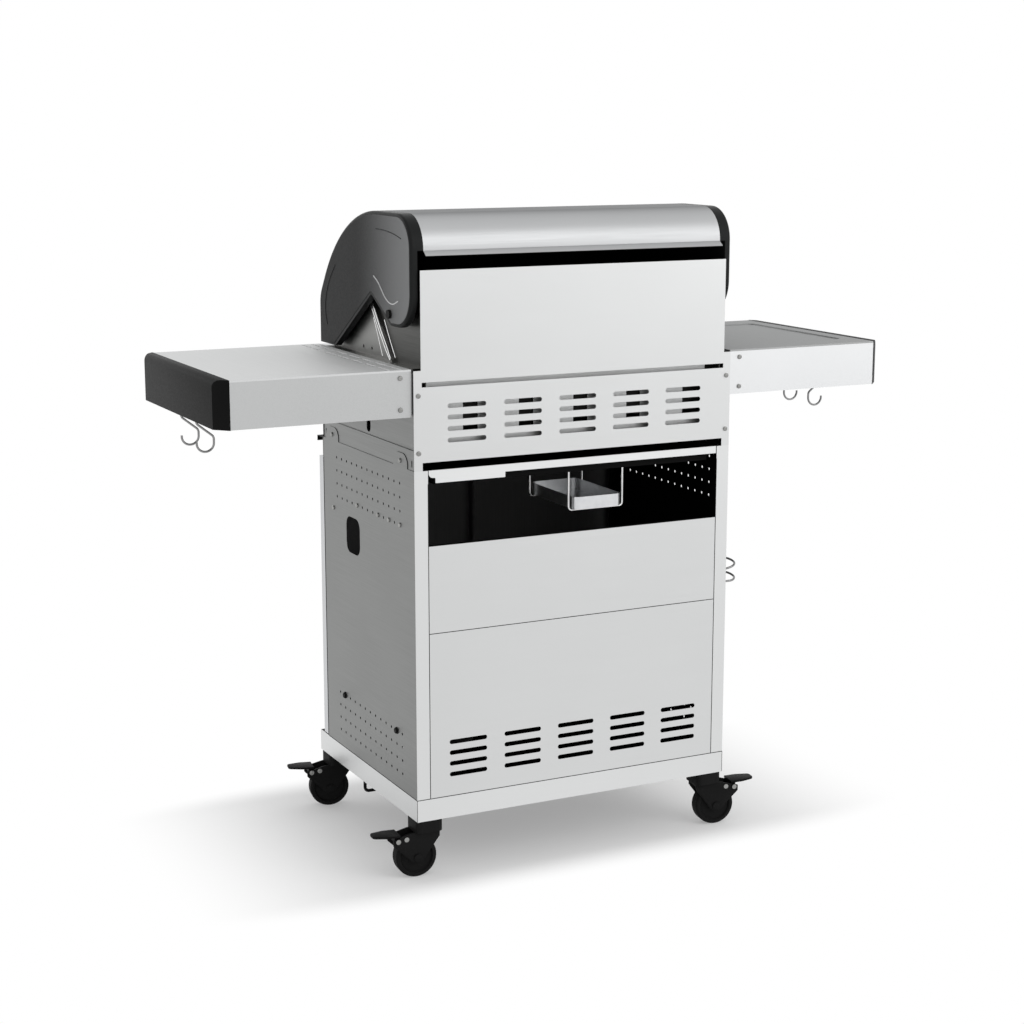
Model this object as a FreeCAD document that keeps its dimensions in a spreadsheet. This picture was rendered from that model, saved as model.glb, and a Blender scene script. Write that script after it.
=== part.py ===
import FreeCAD, Part
import math
import os
import Sketcher
from FreeCAD import Placement, Rotation, Vector

# Gas grill on a castor cart. Millimetres, Z up, the front of the grill faces -Y.
# The origin is on the floor, below the middle of the whole object.

SIZES = {
    # Sheet metal and fits
    "gauge": 1.2,
    "running_fit": 0.06,
    "loose_fit": 0.3,
    "seam": 0.5,
    # Cart base
    "body_width": 620.0,
    "rear_face": 250.5,
    "base_depth": 461.0,
    "base_height": 39.4,
    "base_lip": 10.0,
    "door_sill": 46.0,
    # Wire cradle for the gas cylinder, under a round hole in the base
    "cradle_x": 165.0,
    "cradle_y": -50.0,
    "cradle_hole_radius": 95.0,
    "cradle_collar_height": 48.0,
    "cradle_span": 240.0,
    "cradle_drop": 40.0,
    "cradle_wire": 3.0,
    "cradle_bend": 8.0,
    # Cabinet sides
    "cabinet_height": 578.2,
    "side_depth": 417.5,
    "post_width": 25.0,
    "front_lip": 12.0,
    "ear_half": 30.0,
    "ear_rise": 24.4,
    "ear_corner": 20.0,
    "ear_front_inset": 43.3,
    "ear_rear_inset": 59.8,
    "ear_screw_rise": 10.4,
    # Perforations of the cabinet sides
    "hole_radius": 2.5,
    "hole_pitch": 24.2,
    "hole_columns": 13,
    "hole_rows": 4,
    "hole_rear_gap": 63.0,
    "upper_holes_drop": 29.3,
    "lower_holes_rise": 30.6,
    "low_screw_drop": 126.0,
    "low_screw_gap": 372.3,
    # Hand opening in the right cabinet side
    "hand_hole_y": -27.7,
    "hand_hole_drop": 26.7,
    "hand_hole_width": 64.5,
    "hand_hole_height": 67.0,
    "hand_hole_corner": 18.0,
    # Rear panels of the cabinet
    "lower_panel_height": 294.6,
    "rear_window_drop": 130.6,
    "upper_panel_lip": 10.0,
    "panel_tab": 12.0,
    "lower_slots_rise": 39.1,
    # Vent slots of the lower rear panel and the housing
    "slot_length": 72.0,
    "slot_height": 8.0,
    "slot_columns": 5,
    "slot_rows": 4,
    "slot_pitch_across": 106.0,
    "slot_pitch_up": 19.5,
    # Front beam, doors and their pins
    "beam_drop": 42.6,
    "beam_lip_depth": 31.0,
    "beam_lip_drop": 10.0,
    "beam_lip_below": 1.6,
    "door_depth": 19.0,
    "door_back_gap": 5.0,
    "door_middle_gap": 1.0,
    "door_top_drop": 38.6,
    "door_floor_gap": 1.6,
    "hinge_inset": 7.0,
    "hinge_pin_radius": 3.0,
    "hinge_pin_reach": 9.0,
    # Burner housing
    "rail_rise": 34.4,
    "rail_step": 2.0,
    "housing_rise": 169.4,
    "runner_width": 33.0,
    "runner_drop": 6.0,
    "rail_slot_width": 4.0,
    "rail_slot_height": 12.0,
    "rail_slot_rise": 11.4,
    "rail_slot_front": -155.0,
    "rail_slot_rear": 238.0,
    "side_slot_width": 18.0,
    "side_slot_height": 30.0,
    "side_slot_y": 45.0,
    "side_slot_rise": 54.0,
    # Rear of the housing and of the firebox
    "vent_panel_height": 141.4,
    "vent_foot_width": 15.6,
    "vent_foot_height": 13.9,
    "vent_slots_rise": 49.4,
    "rear_slit_height": 8.0,
    "rear_slit_inset": 15.0,
    "rear_panel_gap": 1.6,
    "rear_panel_rise": 165.8,
    # Firebox
    "tub_gap": 22.0,
    "tub_wall": 1.5,
    "tub_front_gap": 12.0,
    "tub_rear_gap": 19.8,
    "tub_depth": 102.0,
    "tub_front_rise": 3.0,
    "tub_rear_rise": 138.0,
    "tub_flange": 36.0,
    "grate_drop": 22.5,
    "tamer_drop": 54.0,
    "ledge_depth": 12.0,
    "spit_plate": 2.0,
    "spit_rise": 103.0,
    "spit_front": -40.0,
    "spit_rear": 28.0,
    "spit_foot": 117.0,
    "spit_notch_y": 12.5,
    "spit_notch_width": 14.0,
    "spit_notch_depth": 20.0,
    "spit_flange_width": 10.0,
    "spit_flange_rise": 5.0,
    "spit_hole_radius": 3.0,
    "spit_hole_front": -13.0,
    "spit_hole_rear": 25.0,
    "spit_hole_rise": 14.0,
    # Cooking hardware
    "burner_pitch": 170.0,
    "burner_below": 9.0,
    "burner_radius": 13.0,
    "burner_wall": 1.5,
    "burner_ahead": 10.0,
    "tamer_width": 110.0,
    "tamer_rise": 22.0,
    "grate_gap": 3.0,
    "grate_height": 14.0,
    "grate_bar": 8.0,
    "grate_bars": 13,
    "rack_rise": 108.0,
    "rack_wire": 2.5,
    "rack_rail": 3.5,
    "rack_front": 90.0,
    "rack_depth": 120.0,
    "rack_wires": 7,
    "rack_pin_radius": 4.0,
    "rack_pin_length": 16.0,
    # Control panel, valves, knobs and igniter
    "control_depth": 55.0,
    "control_drop": 2.0,
    "control_corner": 12.0,
    "control_return": 12.0,
    "knob_drop": 68.0,
    "stem_hole_radius": 6.0,
    "pipe_radius": 9.0,
    "pipe_inset": 32.0,
    "pipe_overrun": 20.0,
    "pipe_end": 12.0,
    "valve_half": 13.0,
    "valve_depth": 27.0,
    "collar_radius": 9.0,
    "nozzle_radius": 5.0,
    "nozzle_length": 20.0,
    "inlet_radius": 6.6,
    "inlet_drop": 44.0,
    "inlet_collar_radius": 10.0,
    "inlet_collar_drop": 12.0,
    "inlet_x": 250.0,
    "hose_hole_radius": 15.0,
    "stem_radius": 4.0,
    "stem_seat": 14.0,
    "stem_reach": 18.0,
    "stem_flat": 1.2,
    "knob_gap": 5.0,
    "knob_skirt_radius": 25.0,
    "knob_skirt_height": 5.0,
    "knob_shoulder": 8.0,
    "knob_grip_radius": 19.0,
    "knob_front_radius": 17.1,
    "knob_pointer_half": 4.5,
    "knob_height": 25.0,
    "knob_travel_room": 5.0,
    "igniter_inset": 55.0,
    "igniter_radius": 10.0,
    "igniter_proud": 10.0,
    "igniter_flange": 3.0,
    "igniter_length": 12.0,
    # Grease tray, cup and its wires
    "tray_lap": 7.7,
    "tray_wall_gap": 5.8,
    "tray_front_gap": 27.0,
    "tray_rear_gap": 10.5,
    "tray_depth": 21.0,
    "tray_drain_radius": 9.0,
    "tray_lip_drop": 7.1,
    "tray_lip_rise": 5.9,
    "tray_lip_corner": 8.0,
    "tray_grip_drop": 16.4,
    "tray_grip_length": 131.0,
    "tray_grip_inset": 12.5,
    "cup_x": -54.0,
    "cup_y": 143.0,
    "cup_width": 96.0,
    "cup_length": 172.0,
    "cup_height": 22.0,
    "cup_corner": 12.0,
    "cup_wall": 1.0,
    "holder_gap": 6.0,
    "holder_pitch": 150.0,
    "holder_drop": 73.1,
    "holder_wire": 2.0,
    "holder_bend": 6.0,
    # Side shelves
    "shelf_gap": 2.0,
    "shelf_length": 315.0,
    "shelf_front_overhang": 10.0,
    "shelf_rear_inset": 4.5,
    "shelf_rise": 2.6,
    "shelf_height": 80.1,
    "shelf_plate_inset": 8.0,
    "shelf_slot_length": 48.0,
    "shelf_slot_width": 4.0,
    "shelf_slot_margin": 7.5,
    "shelf_slot_count": 7,
    "shelf_slot_first_row": 16.0,
    "shelf_slot_row_pitch": 20.0,
    "shelf_recess_depth": 2.5,
    "shelf_recess_margin": 28.0,
    "shelf_recess_front": 54.0,
    "shelf_recess_rear": 60.0,
    "shelf_recess_corner": 12.0,
    "cap_length": 22.0,
    "cap_chamfer": 24.0,
    "cap_proud": 0.6,
    "cap_wall": 4.0,
    "cap_edge": 12.0,
    "hook_rail_radius": 3.0,
    "hook_rail_inset": 5.0,
    "hook_rail_rise": 3.0,
    "shelf_screw_inset": 20.0,
    "shelf_screw_margin": 13.5,
    # S-hooks
    "hook_wire": 1.9,
    "hook_crown": 9.0,
    "hook_loop": 15.0,
    "hook_drop": 60.5,
    "hook_lean": 20.0,
    "hook_first": -5.0,
    "hook_second": 78.0,
    # Lid
    "lid_overhang": 8.0,
    "lid_rear_inset": 6.5,
    "lid_gap": 7.5,
    "lid_height": 249.0,
    "lid_front_rise": 85.5,
    "lid_front_bend": 50.0,
    "lid_slope_run": 114.5,
    "lid_top_bend": 300.0,
    "lid_rear_bend": 58.0,
    "lid_rear_run": 1.0,
    "lid_lip": 10.0,
    "lid_lip_drop": 8.0,
    "lid_cap_plate": 12.0,
    "lid_cap_rim": 11.0,
    "lid_cap_rim_depth": 10.0,
    "lid_cap_edge": 5.0,
    "lid_lobe_drop": 20.4,
    "lid_lobe_ahead": 3.0,
    "lid_lobe_bend": 60.0,
    "lid_notch_y": 73.0,
    "lid_notch_rise": 106.5,
    "lid_notch_inset": 76.5,
    "lid_notch_bend": 6.0,
    "pivot_inset": 94.5,
    "pivot_rise": 86.4,
    "pivot_radius": 5.0,
    "pivot_head": 7.5,
    "pivot_head_height": 5.0,
    "handle_radius": 12.0,
    "handle_reach": 67.0,
    "handle_rise": 50.5,
    "handle_half": 240.0,
    "handle_post_radius": 8.0,
    "handle_post_x": 190.0,
    "handle_foot_radius": 15.0,
    "handle_foot_height": 4.0,
    "gauge_radius": 34.0,
    "gauge_depth": 12.0,
    "gauge_stem_radius": 4.0,
    "gauge_stem_length": 45.0,
    "gauge_angle": 45.0,
    # Wire spiral on the left side panel
    "spiral_y": 210.0,
    "spiral_gap": 0.5,
    "spiral_radius": 19.0,
    "spiral_wire": 2.0,
    "spiral_pitch": 27.0,
    "spiral_half_turns": 3,
    "spiral_drop": 221.6,
    # Screws
    "screw_head_radius": 4.2,
    "screw_head_height": 2.6,
    "screw_head_round": 1.8,
    "screw_shank_radius": 2.0,
    "screw_length": 7.0,
    "vent_screw_inset": 8.5,
    "vent_screw_low": 30.4,
    "vent_screw_high": 127.4,
    # Castors
    "castor_inset": 25.0,
    "castor_front_inset": 25.5,
    "castor_rear_inset": 25.5,
    "castor_block": 50.0,
    "castor_block_height": 22.0,
    "castor_block_corner": 10.0,
    "fork_back": 21.0,
    "cheek_shoulder": 28.0,
    "cheek_end_rise": 2.0,
    "castor_trail": 20.0,
    "king_pin_radius": 5.0,
    "king_pin_head": 6.5,
    "king_pin_head_height": 2.6,
    "fork_top": 4.7,
    "fork_half": 18.0,
    "fork_cheek": 3.0,
    "wheel_radius": 37.5,
    "wheel_top_gap": 3.0,
    "wheel_width": 26.0,
    "wheel_edge": 5.0,
    "wheel_shoulder": 7.5,
    "wheel_dish_edge": 10.0,
    "wheel_hub_radius": 11.0,
    "wheel_dish": 4.0,
    "axle_radius": 4.0,
    "axle_head_radius": 7.0,
    "axle_head_height": 2.5,
    "pedal_pin_radius": 2.5,
    "pedal_pin_reach": 36.0,
    "pedal_pin_drop": 11.2,
    "pedal_boss": 5.0,
    "pedal_length": 43.0,
    "pedal_half": 17.5,
    "pedal_tip_half": 10.5,
    "pedal_shoulder": 18.0,
    "pedal_rise": 1.5,
    "pedal_plate": 4.0,
    "pedal_slope": 1.5,
    "pedal_corner": 7.0,
    "heading_1": -4.0,
    "heading_2": -10.0,
    "heading_3": 172.0,
    "heading_4": 188.0,
}

doc = FreeCAD.newDocument("gas_grill")
sheet = doc.addObject("Spreadsheet::Sheet", "Dims")
for row, (alias, value) in enumerate(SIZES.items(), start=1):
    sheet.set(f"A{row}", alias)
    sheet.set(f"B{row}", str(value))
    sheet.setAlias(f"B{row}", alias)
doc.recompute()


def words(item):
    """The expression text of a size or of a plain number."""
    return item.text if isinstance(item, Size) else f"({float(item)})"


class Size:
    """A length in millimetres together with the sheet expression that gives it."""

    def __init__(self, value, text):
        self.value = float(value)
        self.text = text

    def __float__(self):
        return self.value

    def __int__(self):
        return int(self.value)

    def __add__(self, other):
        return Size(self.value + float(other), f"({self.text} + {words(other)})")

    def __radd__(self, other):
        return Size(float(other) + self.value, f"({words(other)} + {self.text})")

    def __sub__(self, other):
        return Size(self.value - float(other), f"({self.text} - {words(other)})")

    def __rsub__(self, other):
        return Size(float(other) - self.value, f"({words(other)} - {self.text})")

    def __mul__(self, other):
        return Size(self.value * float(other), f"({self.text} * {words(other)})")

    __rmul__ = __mul__

    def __truediv__(self, other):
        return Size(self.value / float(other), f"({self.text} / {words(other)})")

    def __neg__(self):
        return Size(-self.value, f"(-1 * {self.text})")


class Cells:
    """The sheet's cells by name."""

    def __getattr__(self, name):
        return Size(sheet.get(name), f"Dims.{name}")


D = Cells()

# The end of a slot or a hook is nearly a half circle: its radius as a share of the whole width
ROUND_END = 0.49
# How far a cutter runs past the faces that it opens, and a collar into the block that carries it
OVERCUT = 1.0
# Columns of the perforations, counted from the rear, that hold a screw
ROW_SCREW_COLUMNS = (0, 2, 4, 8)

# Levels and faces that many pieces share, from the floor up
HALF = D.body_width / 2
BLOCK_BOTTOM = D.wheel_radius * 2 + D.wheel_top_gap + D.fork_top + D.loose_fit
FORK_TOP = BLOCK_BOTTOM - D.loose_fit
FORK_UNDER = FORK_TOP - D.fork_top
PEDAL_X = D.castor_trail + D.pedal_pin_reach
PEDAL_Z = FORK_TOP - D.pedal_pin_drop
GROUND_GAP = BLOCK_BOTTOM + D.castor_block_height
BASE_FRONT = D.rear_face - D.base_depth
BASE_TOP = GROUND_GAP + D.base_height
CABINET_TOP = BASE_TOP + D.cabinet_height
SIDE_FRONT = D.rear_face - D.side_depth
REAR_INSIDE = D.rear_face - D.gauge
WINDOW_LOW = CABINET_TOP - D.rear_window_drop
EAR_FRONT = SIDE_FRONT + D.ear_front_inset
EAR_REAR = D.rear_face - D.ear_rear_inset
DOOR_BACK = SIDE_FRONT - D.door_back_gap
DOOR_FRONT = DOOR_BACK - D.door_depth
HINGE_X = HALF - D.hinge_inset
HINGE_Y = DOOR_BACK - D.door_depth / 2
BEAM_LIP_TOP = CABINET_TOP - D.beam_lip_below
RAIL_FACE = HALF - D.gauge
RAIL_TOP = CABINET_TOP + D.rail_rise
HOUSING_FACE = RAIL_FACE - D.rail_step
HOUSING_TOP = CABINET_TOP + D.housing_rise
VENT_TOP = CABINET_TOP + D.vent_panel_height
RUNNER_TOP = CABINET_TOP - D.runner_drop
RUNNER_INNER = RAIL_FACE - D.runner_width
TRAY_HALF = RUNNER_INNER + D.tray_lap
TRAY_WALL = RUNNER_INNER - D.tray_wall_gap
TRAY_FRONT = SIDE_FRONT + D.tray_front_gap
TRAY_REAR = D.rear_face - D.tray_rear_gap
TRAY_FLANGE = RUNNER_TOP + D.loose_fit
TRAY_FLOOR = TRAY_FLANGE + D.gauge - D.tray_depth
HOLDER_LOW = TRAY_FLOOR - D.holder_drop
TUB_HALF = HALF - D.tub_gap
TUB_FRONT = SIDE_FRONT + D.tub_front_gap
TUB_REAR = REAR_INSIDE - D.tub_rear_gap
TUB_BOTTOM = HOUSING_TOP - D.tub_depth
TUB_FRONT_TOP = HOUSING_TOP + D.tub_front_rise
TUB_REAR_TOP = HOUSING_TOP + D.tub_rear_rise
GRATE_LEVEL = HOUSING_TOP - D.grate_drop
TAMER_LEVEL = HOUSING_TOP - D.tamer_drop
SPIT_TOP = HOUSING_TOP + D.spit_rise
RACK_Z = HOUSING_TOP + D.rack_rise
CONTROL_FRONT = SIDE_FRONT - D.control_depth
CONTROL_TOP = HOUSING_TOP - D.control_drop
KNOB_Z = HOUSING_TOP - D.knob_drop
KNOBS = {1: -D.burner_pitch, 2: D.burner_pitch * 0, 3: D.burner_pitch}
BURNER_Z = KNOB_Z - D.burner_below
PIPE_Y = CONTROL_FRONT + D.pipe_inset
IGNITER_X = D.igniter_inset - HALF
SHELF_INNER = HALF + D.shelf_gap
SHELF_OUTER = SHELF_INNER + D.shelf_length
SHELF_FRONT = SIDE_FRONT - D.shelf_front_overhang
SHELF_REAR = D.rear_face - D.shelf_rear_inset
SHELF_TOP = HOUSING_TOP + D.shelf_rise
SHELF_BOTTOM = SHELF_TOP - D.shelf_height
HOOK_RAIL_X = SHELF_OUTER - D.hook_rail_inset
HOOK_RAIL_Z = SHELF_BOTTOM + D.hook_rail_rise
HOOK_BOTTOM = SHELF_BOTTOM - D.hook_drop
LID_FRONT = SIDE_FRONT - D.lid_overhang
LID_REAR = D.rear_face - D.lid_rear_inset
LID_BASE = HOUSING_TOP + D.lid_gap
LID_TOP = LID_BASE + D.lid_height
LID_SKIN_END = LID_TOP - D.lid_rear_bend - D.lid_rear_run
LID_SKIN_HALF = HALF - D.lid_cap_plate - D.lid_cap_rim
LID_NOTCH_Z = LID_BASE + D.lid_notch_rise
PIVOT_Y = D.rear_face - D.pivot_inset
PIVOT_Z = HOUSING_TOP + D.pivot_rise
HANDLE_Y = LID_FRONT - D.handle_reach
HANDLE_Z = LID_BASE + D.handle_rise

LID_SHOULDER = LID_BASE + D.lid_front_rise
LID_BROW = LID_FRONT + D.lid_slope_run


def bind(item, name, size):
    item.setExpression(name, words(size))


def box(x0, x1, y0, y1, z0, z1):
    """A block between two faces in each direction."""
    item = doc.addObject("Part::Box", "Block")
    for name, low, high in (("Length", x0, x1), ("Width", y0, y1), ("Height", z0, z1)):
        bind(item, name, high - low)
    for letter, low in zip("xyz", (x0, y0, z0)):
        bind(item, f"Placement.Base.{letter}", low)
    return item


AXIS_TURNS = {
    "x": Rotation(Vector(0, 1, 0), 90),
    "y": Rotation(Vector(1, 0, 0), -90),
    "z": Rotation(),
}


def rod(axis, radius, start, end, first, second):
    """A round bar along an axis. First and second are its other coordinates, in x, y, z order."""
    item = doc.addObject("Part::Cylinder", "Rod")
    item.Placement = Placement(Vector(), AXIS_TURNS[axis])
    bind(item, "Radius", radius)
    bind(item, "Height", end - start)
    places = {
        "x": (start, first, second),
        "y": (first, start, second),
        "z": (first, second, start),
    }[axis]
    for letter, place in zip("xyz", places):
        bind(item, f"Placement.Base.{letter}", place)
    return item


def solid(shape):
    item = doc.addObject("Part::Feature", "Solid")
    item.Shape = shape
    return item


def group(*items):
    item = doc.addObject("Part::Compound", "Group")
    item.Links = list(items)
    return item


def fuse(*items):
    item = doc.addObject("Part::MultiFuse", "Joined")
    item.Shapes = list(items)
    item.Refine = True
    return item


def cut(base, *tools):
    item = doc.addObject("Part::Cut", "Cut")
    item.Base = base
    item.Tool = tools[0] if len(tools) == 1 else group(*tools)
    return item


def mirror(source):
    """The same piece on the other side of the grill."""
    item = doc.addObject("Part::Mirroring", "Mirrored")
    item.Source = source
    item.Normal = Vector(1, 0, 0)
    return item


def bends(points, radii, closed):
    """A wire along points, each corner rounded to its radius by a tangent arc."""
    count = len(points)
    turns = []
    for i, here in enumerate(points):
        radius = float(radii[i])
        if radius == 0 or (not closed and i in (0, count - 1)):
            turns.append((here, None, here))
            continue
        back = (points[i - 1] - here).normalize()
        ahead = (points[(i + 1) % count] - here).normalize()
        half = back.getAngle(ahead) / 2
        reach = radius / math.tan(half)
        inward = (back + ahead).normalize()
        apex = here + inward * (radius / math.sin(half) - radius)
        turns.append((here + back * reach, apex, here + ahead * reach))
    edges = []
    for i, (start, apex, end) in enumerate(turns):
        if apex:
            edges.append(Part.Arc(start, apex, end).toShape())
        if closed or i + 1 < count:
            following = turns[(i + 1) % count][0]
            if (following - end).Length > 1e-6:
                edges.append(Part.LineSegment(end, following).toShape())
    return Part.Wire(edges)


def place(plane, level, first, second):
    """A point of a plane yz, xz or xy at its level."""
    a, b, c = float(level), float(first), float(second)
    return {"yz": Vector(a, b, c), "xz": Vector(b, a, c), "xy": Vector(b, c, a)}[plane]


def outline(plane, level, corners):
    """A closed wire through corners, each a pair of coordinates and, if it is round, a radius."""
    points = [place(plane, level, corner[0], corner[1]) for corner in corners]
    radii = [corner[2] if len(corner) > 2 else 0 for corner in corners]
    return bends(points, radii, True)


def rectangle(x0, x1, z0, z1, radius=0):
    return [(x0, z0, radius), (x1, z0, radius), (x1, z1, radius), (x0, z1, radius)]


def plate(plane, low, high, corners, holes=()):
    """A flat solid between two levels of a plane, with holes given as outlines' corners."""
    wires = [outline(plane, low, item) for item in (corners, *holes)]
    face = Part.makeFace(wires, "Part::FaceMakerBullseye")
    return face.extrude(place(plane, high, 0, 0) - place(plane, low, 0, 0))


def bar(x0, x1, y0, y1, z0, z1):
    """A plain block as a shape, for pieces that are joined from many."""
    lows = [min(float(a), float(b)) for a, b in ((x0, x1), (y0, y1), (z0, z1))]
    lengths = [abs(float(b) - float(a)) for a, b in ((x0, x1), (y0, y1), (z0, z1))]
    return Part.makeBox(*lengths, Vector(*lows))


def pin(radius, start, end):
    """A round bar as a shape, between two points."""
    return Part.makeCylinder(float(radius), (end - start).Length, start, end - start)


def joined(shapes):
    return shapes[0].multiFuse(shapes[1:]).removeSplitter()


def tube(points, radii, radius):
    """A round wire along points with rounded corners."""
    path = bends(points, radii, False)
    ring = Part.Wire(Part.Circle(points[0], points[1] - points[0], float(radius)).toShape())
    return path.makePipeShell([ring], True, False)


def base_panel():
    """Folded tray: a floor with a collared hole, four rims, a lip round the top and a sill at the doors."""
    inner = HALF - D.gauge
    lid_level = BASE_TOP - D.gauge
    floor = GROUND_GAP + D.gauge
    block = box(-HALF, HALF, BASE_FRONT, D.rear_face, GROUND_GAP, BASE_TOP)
    hollow = box(-inner, inner, BASE_FRONT + D.gauge, REAR_INSIDE, floor, lid_level)
    mouth = box(
        D.base_lip - inner, inner - D.base_lip,
        BASE_FRONT + D.door_sill, REAR_INSIDE - D.base_lip,
        floor, BASE_TOP + D.gauge,
    )
    radius = D.cradle_hole_radius
    collar_top = floor + D.cradle_collar_height
    collar = rod("z", radius + D.gauge, GROUND_GAP, collar_top, D.cradle_x, D.cradle_y)
    well = rod("z", radius, GROUND_GAP - OVERCUT, collar_top + OVERCUT, D.cradle_x, D.cradle_y)
    return cut(fuse(cut(block, hollow, mouth), collar), well)


def cylinder_cradle():
    """Two bent wires that cross below the hole in the base and carry the foot of a gas cylinder."""
    half = D.cradle_span / 2
    low = GROUND_GAP - D.cradle_drop
    crossing = low + D.cradle_wire * 2 + D.running_fit
    wires = []
    for along, level in (((1, 0), low), ((0, 1), crossing)):
        points = []
        for side, z in ((-1, GROUND_GAP), (-1, level), (1, level), (1, GROUND_GAP)):
            x = D.cradle_x + half * side * along[0]
            y = D.cradle_y + half * side * along[1]
            points.append(Vector(float(x), float(y), float(z)))
        wires.append(tube(points, [D.cradle_bend] * len(points), D.cradle_wire))
    return solid(Part.makeCompound(wires))


def hole_places():
    """Where the cabinet sides are drilled: row heights, and distances along Y."""
    last = D.rear_face - D.hole_rear_gap
    columns = [last - D.hole_pitch * i for i in range(int(D.hole_columns))]
    upper = [CABINET_TOP - D.upper_holes_drop - D.hole_pitch * i for i in range(int(D.hole_rows))]
    lower = [BASE_TOP + D.lower_holes_rise + D.hole_pitch * i for i in range(int(D.hole_rows))]
    return columns, upper, lower


def ear_corners(middle):
    """The three-sided tab of a cabinet side that laps over the housing rail, from its rear."""
    top = CABINET_TOP + D.ear_rise
    return [
        (middle + D.ear_half, CABINET_TOP),
        (middle + D.ear_half, top, D.ear_corner),
        (middle - D.ear_half, top, D.ear_corner),
        (middle - D.ear_half, CABINET_TOP),
    ]


def side_panel(screws, has_hand_hole):
    """Cabinet side: perforated sheet with two ears, a rear post and a folded front edge."""
    corners = [(SIDE_FRONT, BASE_TOP), (D.rear_face, BASE_TOP), (D.rear_face, CABINET_TOP)]
    corners += ear_corners(EAR_REAR) + ear_corners(EAR_FRONT) + [(SIDE_FRONT, CABINET_TOP)]
    columns, upper, lower = hole_places()
    hand_top = upper[-1] - D.hand_hole_drop
    hand_hole = rectangle(
        D.hand_hole_y - D.hand_hole_width / 2, D.hand_hole_y + D.hand_hole_width / 2,
        hand_top - D.hand_hole_height, hand_top, D.hand_hole_corner,
    )
    skin = solid(plate("yz", HALF - D.gauge, HALF, corners, [hand_hole] if has_hand_hole else []))
    post = box(HALF - D.post_width, HALF, REAR_INSIDE, D.rear_face, BASE_TOP, CABINET_TOP)
    edge_top = CABINET_TOP - D.beam_drop
    edge = box(HALF - D.front_lip, HALF, SIDE_FRONT, SIDE_FRONT + D.gauge, BASE_TOP, edge_top)
    drills = [drill(y, z, D.hole_radius) for y in columns for z in upper + lower]
    drills += [drill(y, z, D.screw_shank_radius + D.loose_fit) for y, z in screws]
    return cut(fuse(skin, post, edge), solid(Part.makeCompound(drills)))


def drill(y, z, radius):
    """A cutter through the right cabinet side."""
    start = Vector(float(HALF - D.gauge * 2), float(y), float(z))
    return pin(radius, start, start + Vector(float(D.gauge) * 3, 0, 0))


def side_screw_places():
    """Screws in holes of their own on a cabinet side: one on each ear and one low down."""
    ear_z = CABINET_TOP + D.ear_screw_rise
    low = (D.rear_face - D.low_screw_gap, CABINET_TOP - D.low_screw_drop)
    return [(EAR_FRONT, ear_z), (EAR_REAR, ear_z), low]


def row_screw_places():
    """Screws of the right side in the lowest row of its upper perforations."""
    columns, upper, _ = hole_places()
    return [(columns[i], upper[-1]) for i in ROW_SCREW_COLUMNS]


def slots(bottom, rows):
    """Corners of the vent slots, in rows upward from a height."""
    columns = int(D.slot_columns)
    found = []
    for row in range(rows):
        z = bottom + D.slot_pitch_up * row
        for column in range(columns):
            x = D.slot_pitch_across * (column - (columns - 1) / 2)
            found.append(rectangle(
                x - D.slot_length / 2, x + D.slot_length / 2,
                z - D.slot_height / 2, z + D.slot_height / 2, D.slot_height * ROUND_END,
            ))
    return found


def rear_panel(low, high, holes):
    """Rear cabinet panel between the posts, with a tab behind each post."""
    half = HALF - D.post_width - D.seam
    sheet_plate = solid(plate("xz", REAR_INSIDE, D.rear_face, rectangle(-half, half, low, high), holes))
    tab_front = REAR_INSIDE - D.gauge
    tabs = []
    for side in (-1, 1):
        middle = side * half
        tabs.append(box(middle - D.panel_tab, middle + D.panel_tab, tab_front, REAR_INSIDE, low, high))
    return sheet_plate, tabs


def rear_panel_lower():
    high = BASE_TOP + D.lower_panel_height
    holes = slots(BASE_TOP + D.lower_slots_rise, int(D.slot_rows))
    skin, tabs = rear_panel(BASE_TOP, high, holes)
    return fuse(skin, *tabs)


def rear_panel_upper():
    """Plain panel with its upper edge folded inward."""
    low = BASE_TOP + D.lower_panel_height + D.seam
    high = WINDOW_LOW
    half = HALF - D.post_width - D.seam
    skin, tabs = rear_panel(low, high, [])
    lip = box(-half, half, REAR_INSIDE - D.upper_panel_lip, REAR_INSIDE, high - D.gauge, high)
    return fuse(skin, lip, *tabs)


def front_beam():
    """Black beam across the front: a tall web, and a forward lip over the finger gap of the doors."""
    web_back = SIDE_FRONT
    web_front = SIDE_FRONT - D.gauge
    lip_front = web_front - D.beam_lip_depth
    web = box(-HALF, HALF, web_front, web_back, CABINET_TOP - D.beam_drop, RAIL_TOP)
    top = box(-HALF, HALF, lip_front, web_front, BEAM_LIP_TOP - D.gauge, BEAM_LIP_TOP)
    edge_low = BEAM_LIP_TOP - D.beam_lip_drop
    edge = box(-HALF, HALF, lip_front, lip_front + D.gauge, edge_low, BEAM_LIP_TOP)
    return fuse(web, top, edge)


def door():
    """Right door: a folded pan, open at the back, with a pin hole in its top and bottom edges."""
    left = D.door_middle_gap
    right = HALF - D.seam
    low = BASE_TOP + D.door_floor_gap
    high = CABINET_TOP - D.door_top_drop
    pan = box(left, right, DOOR_FRONT, DOOR_BACK, low, high)
    hollow = box(
        left + D.gauge, right - D.gauge, DOOR_FRONT + D.gauge, DOOR_BACK + OVERCUT,
        low + D.gauge, high - D.gauge,
    )
    bore = rod("z", D.hinge_pin_radius + D.running_fit, low - OVERCUT, high + OVERCUT, HINGE_X, HINGE_Y)
    return cut(pan, hollow, bore)


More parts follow.
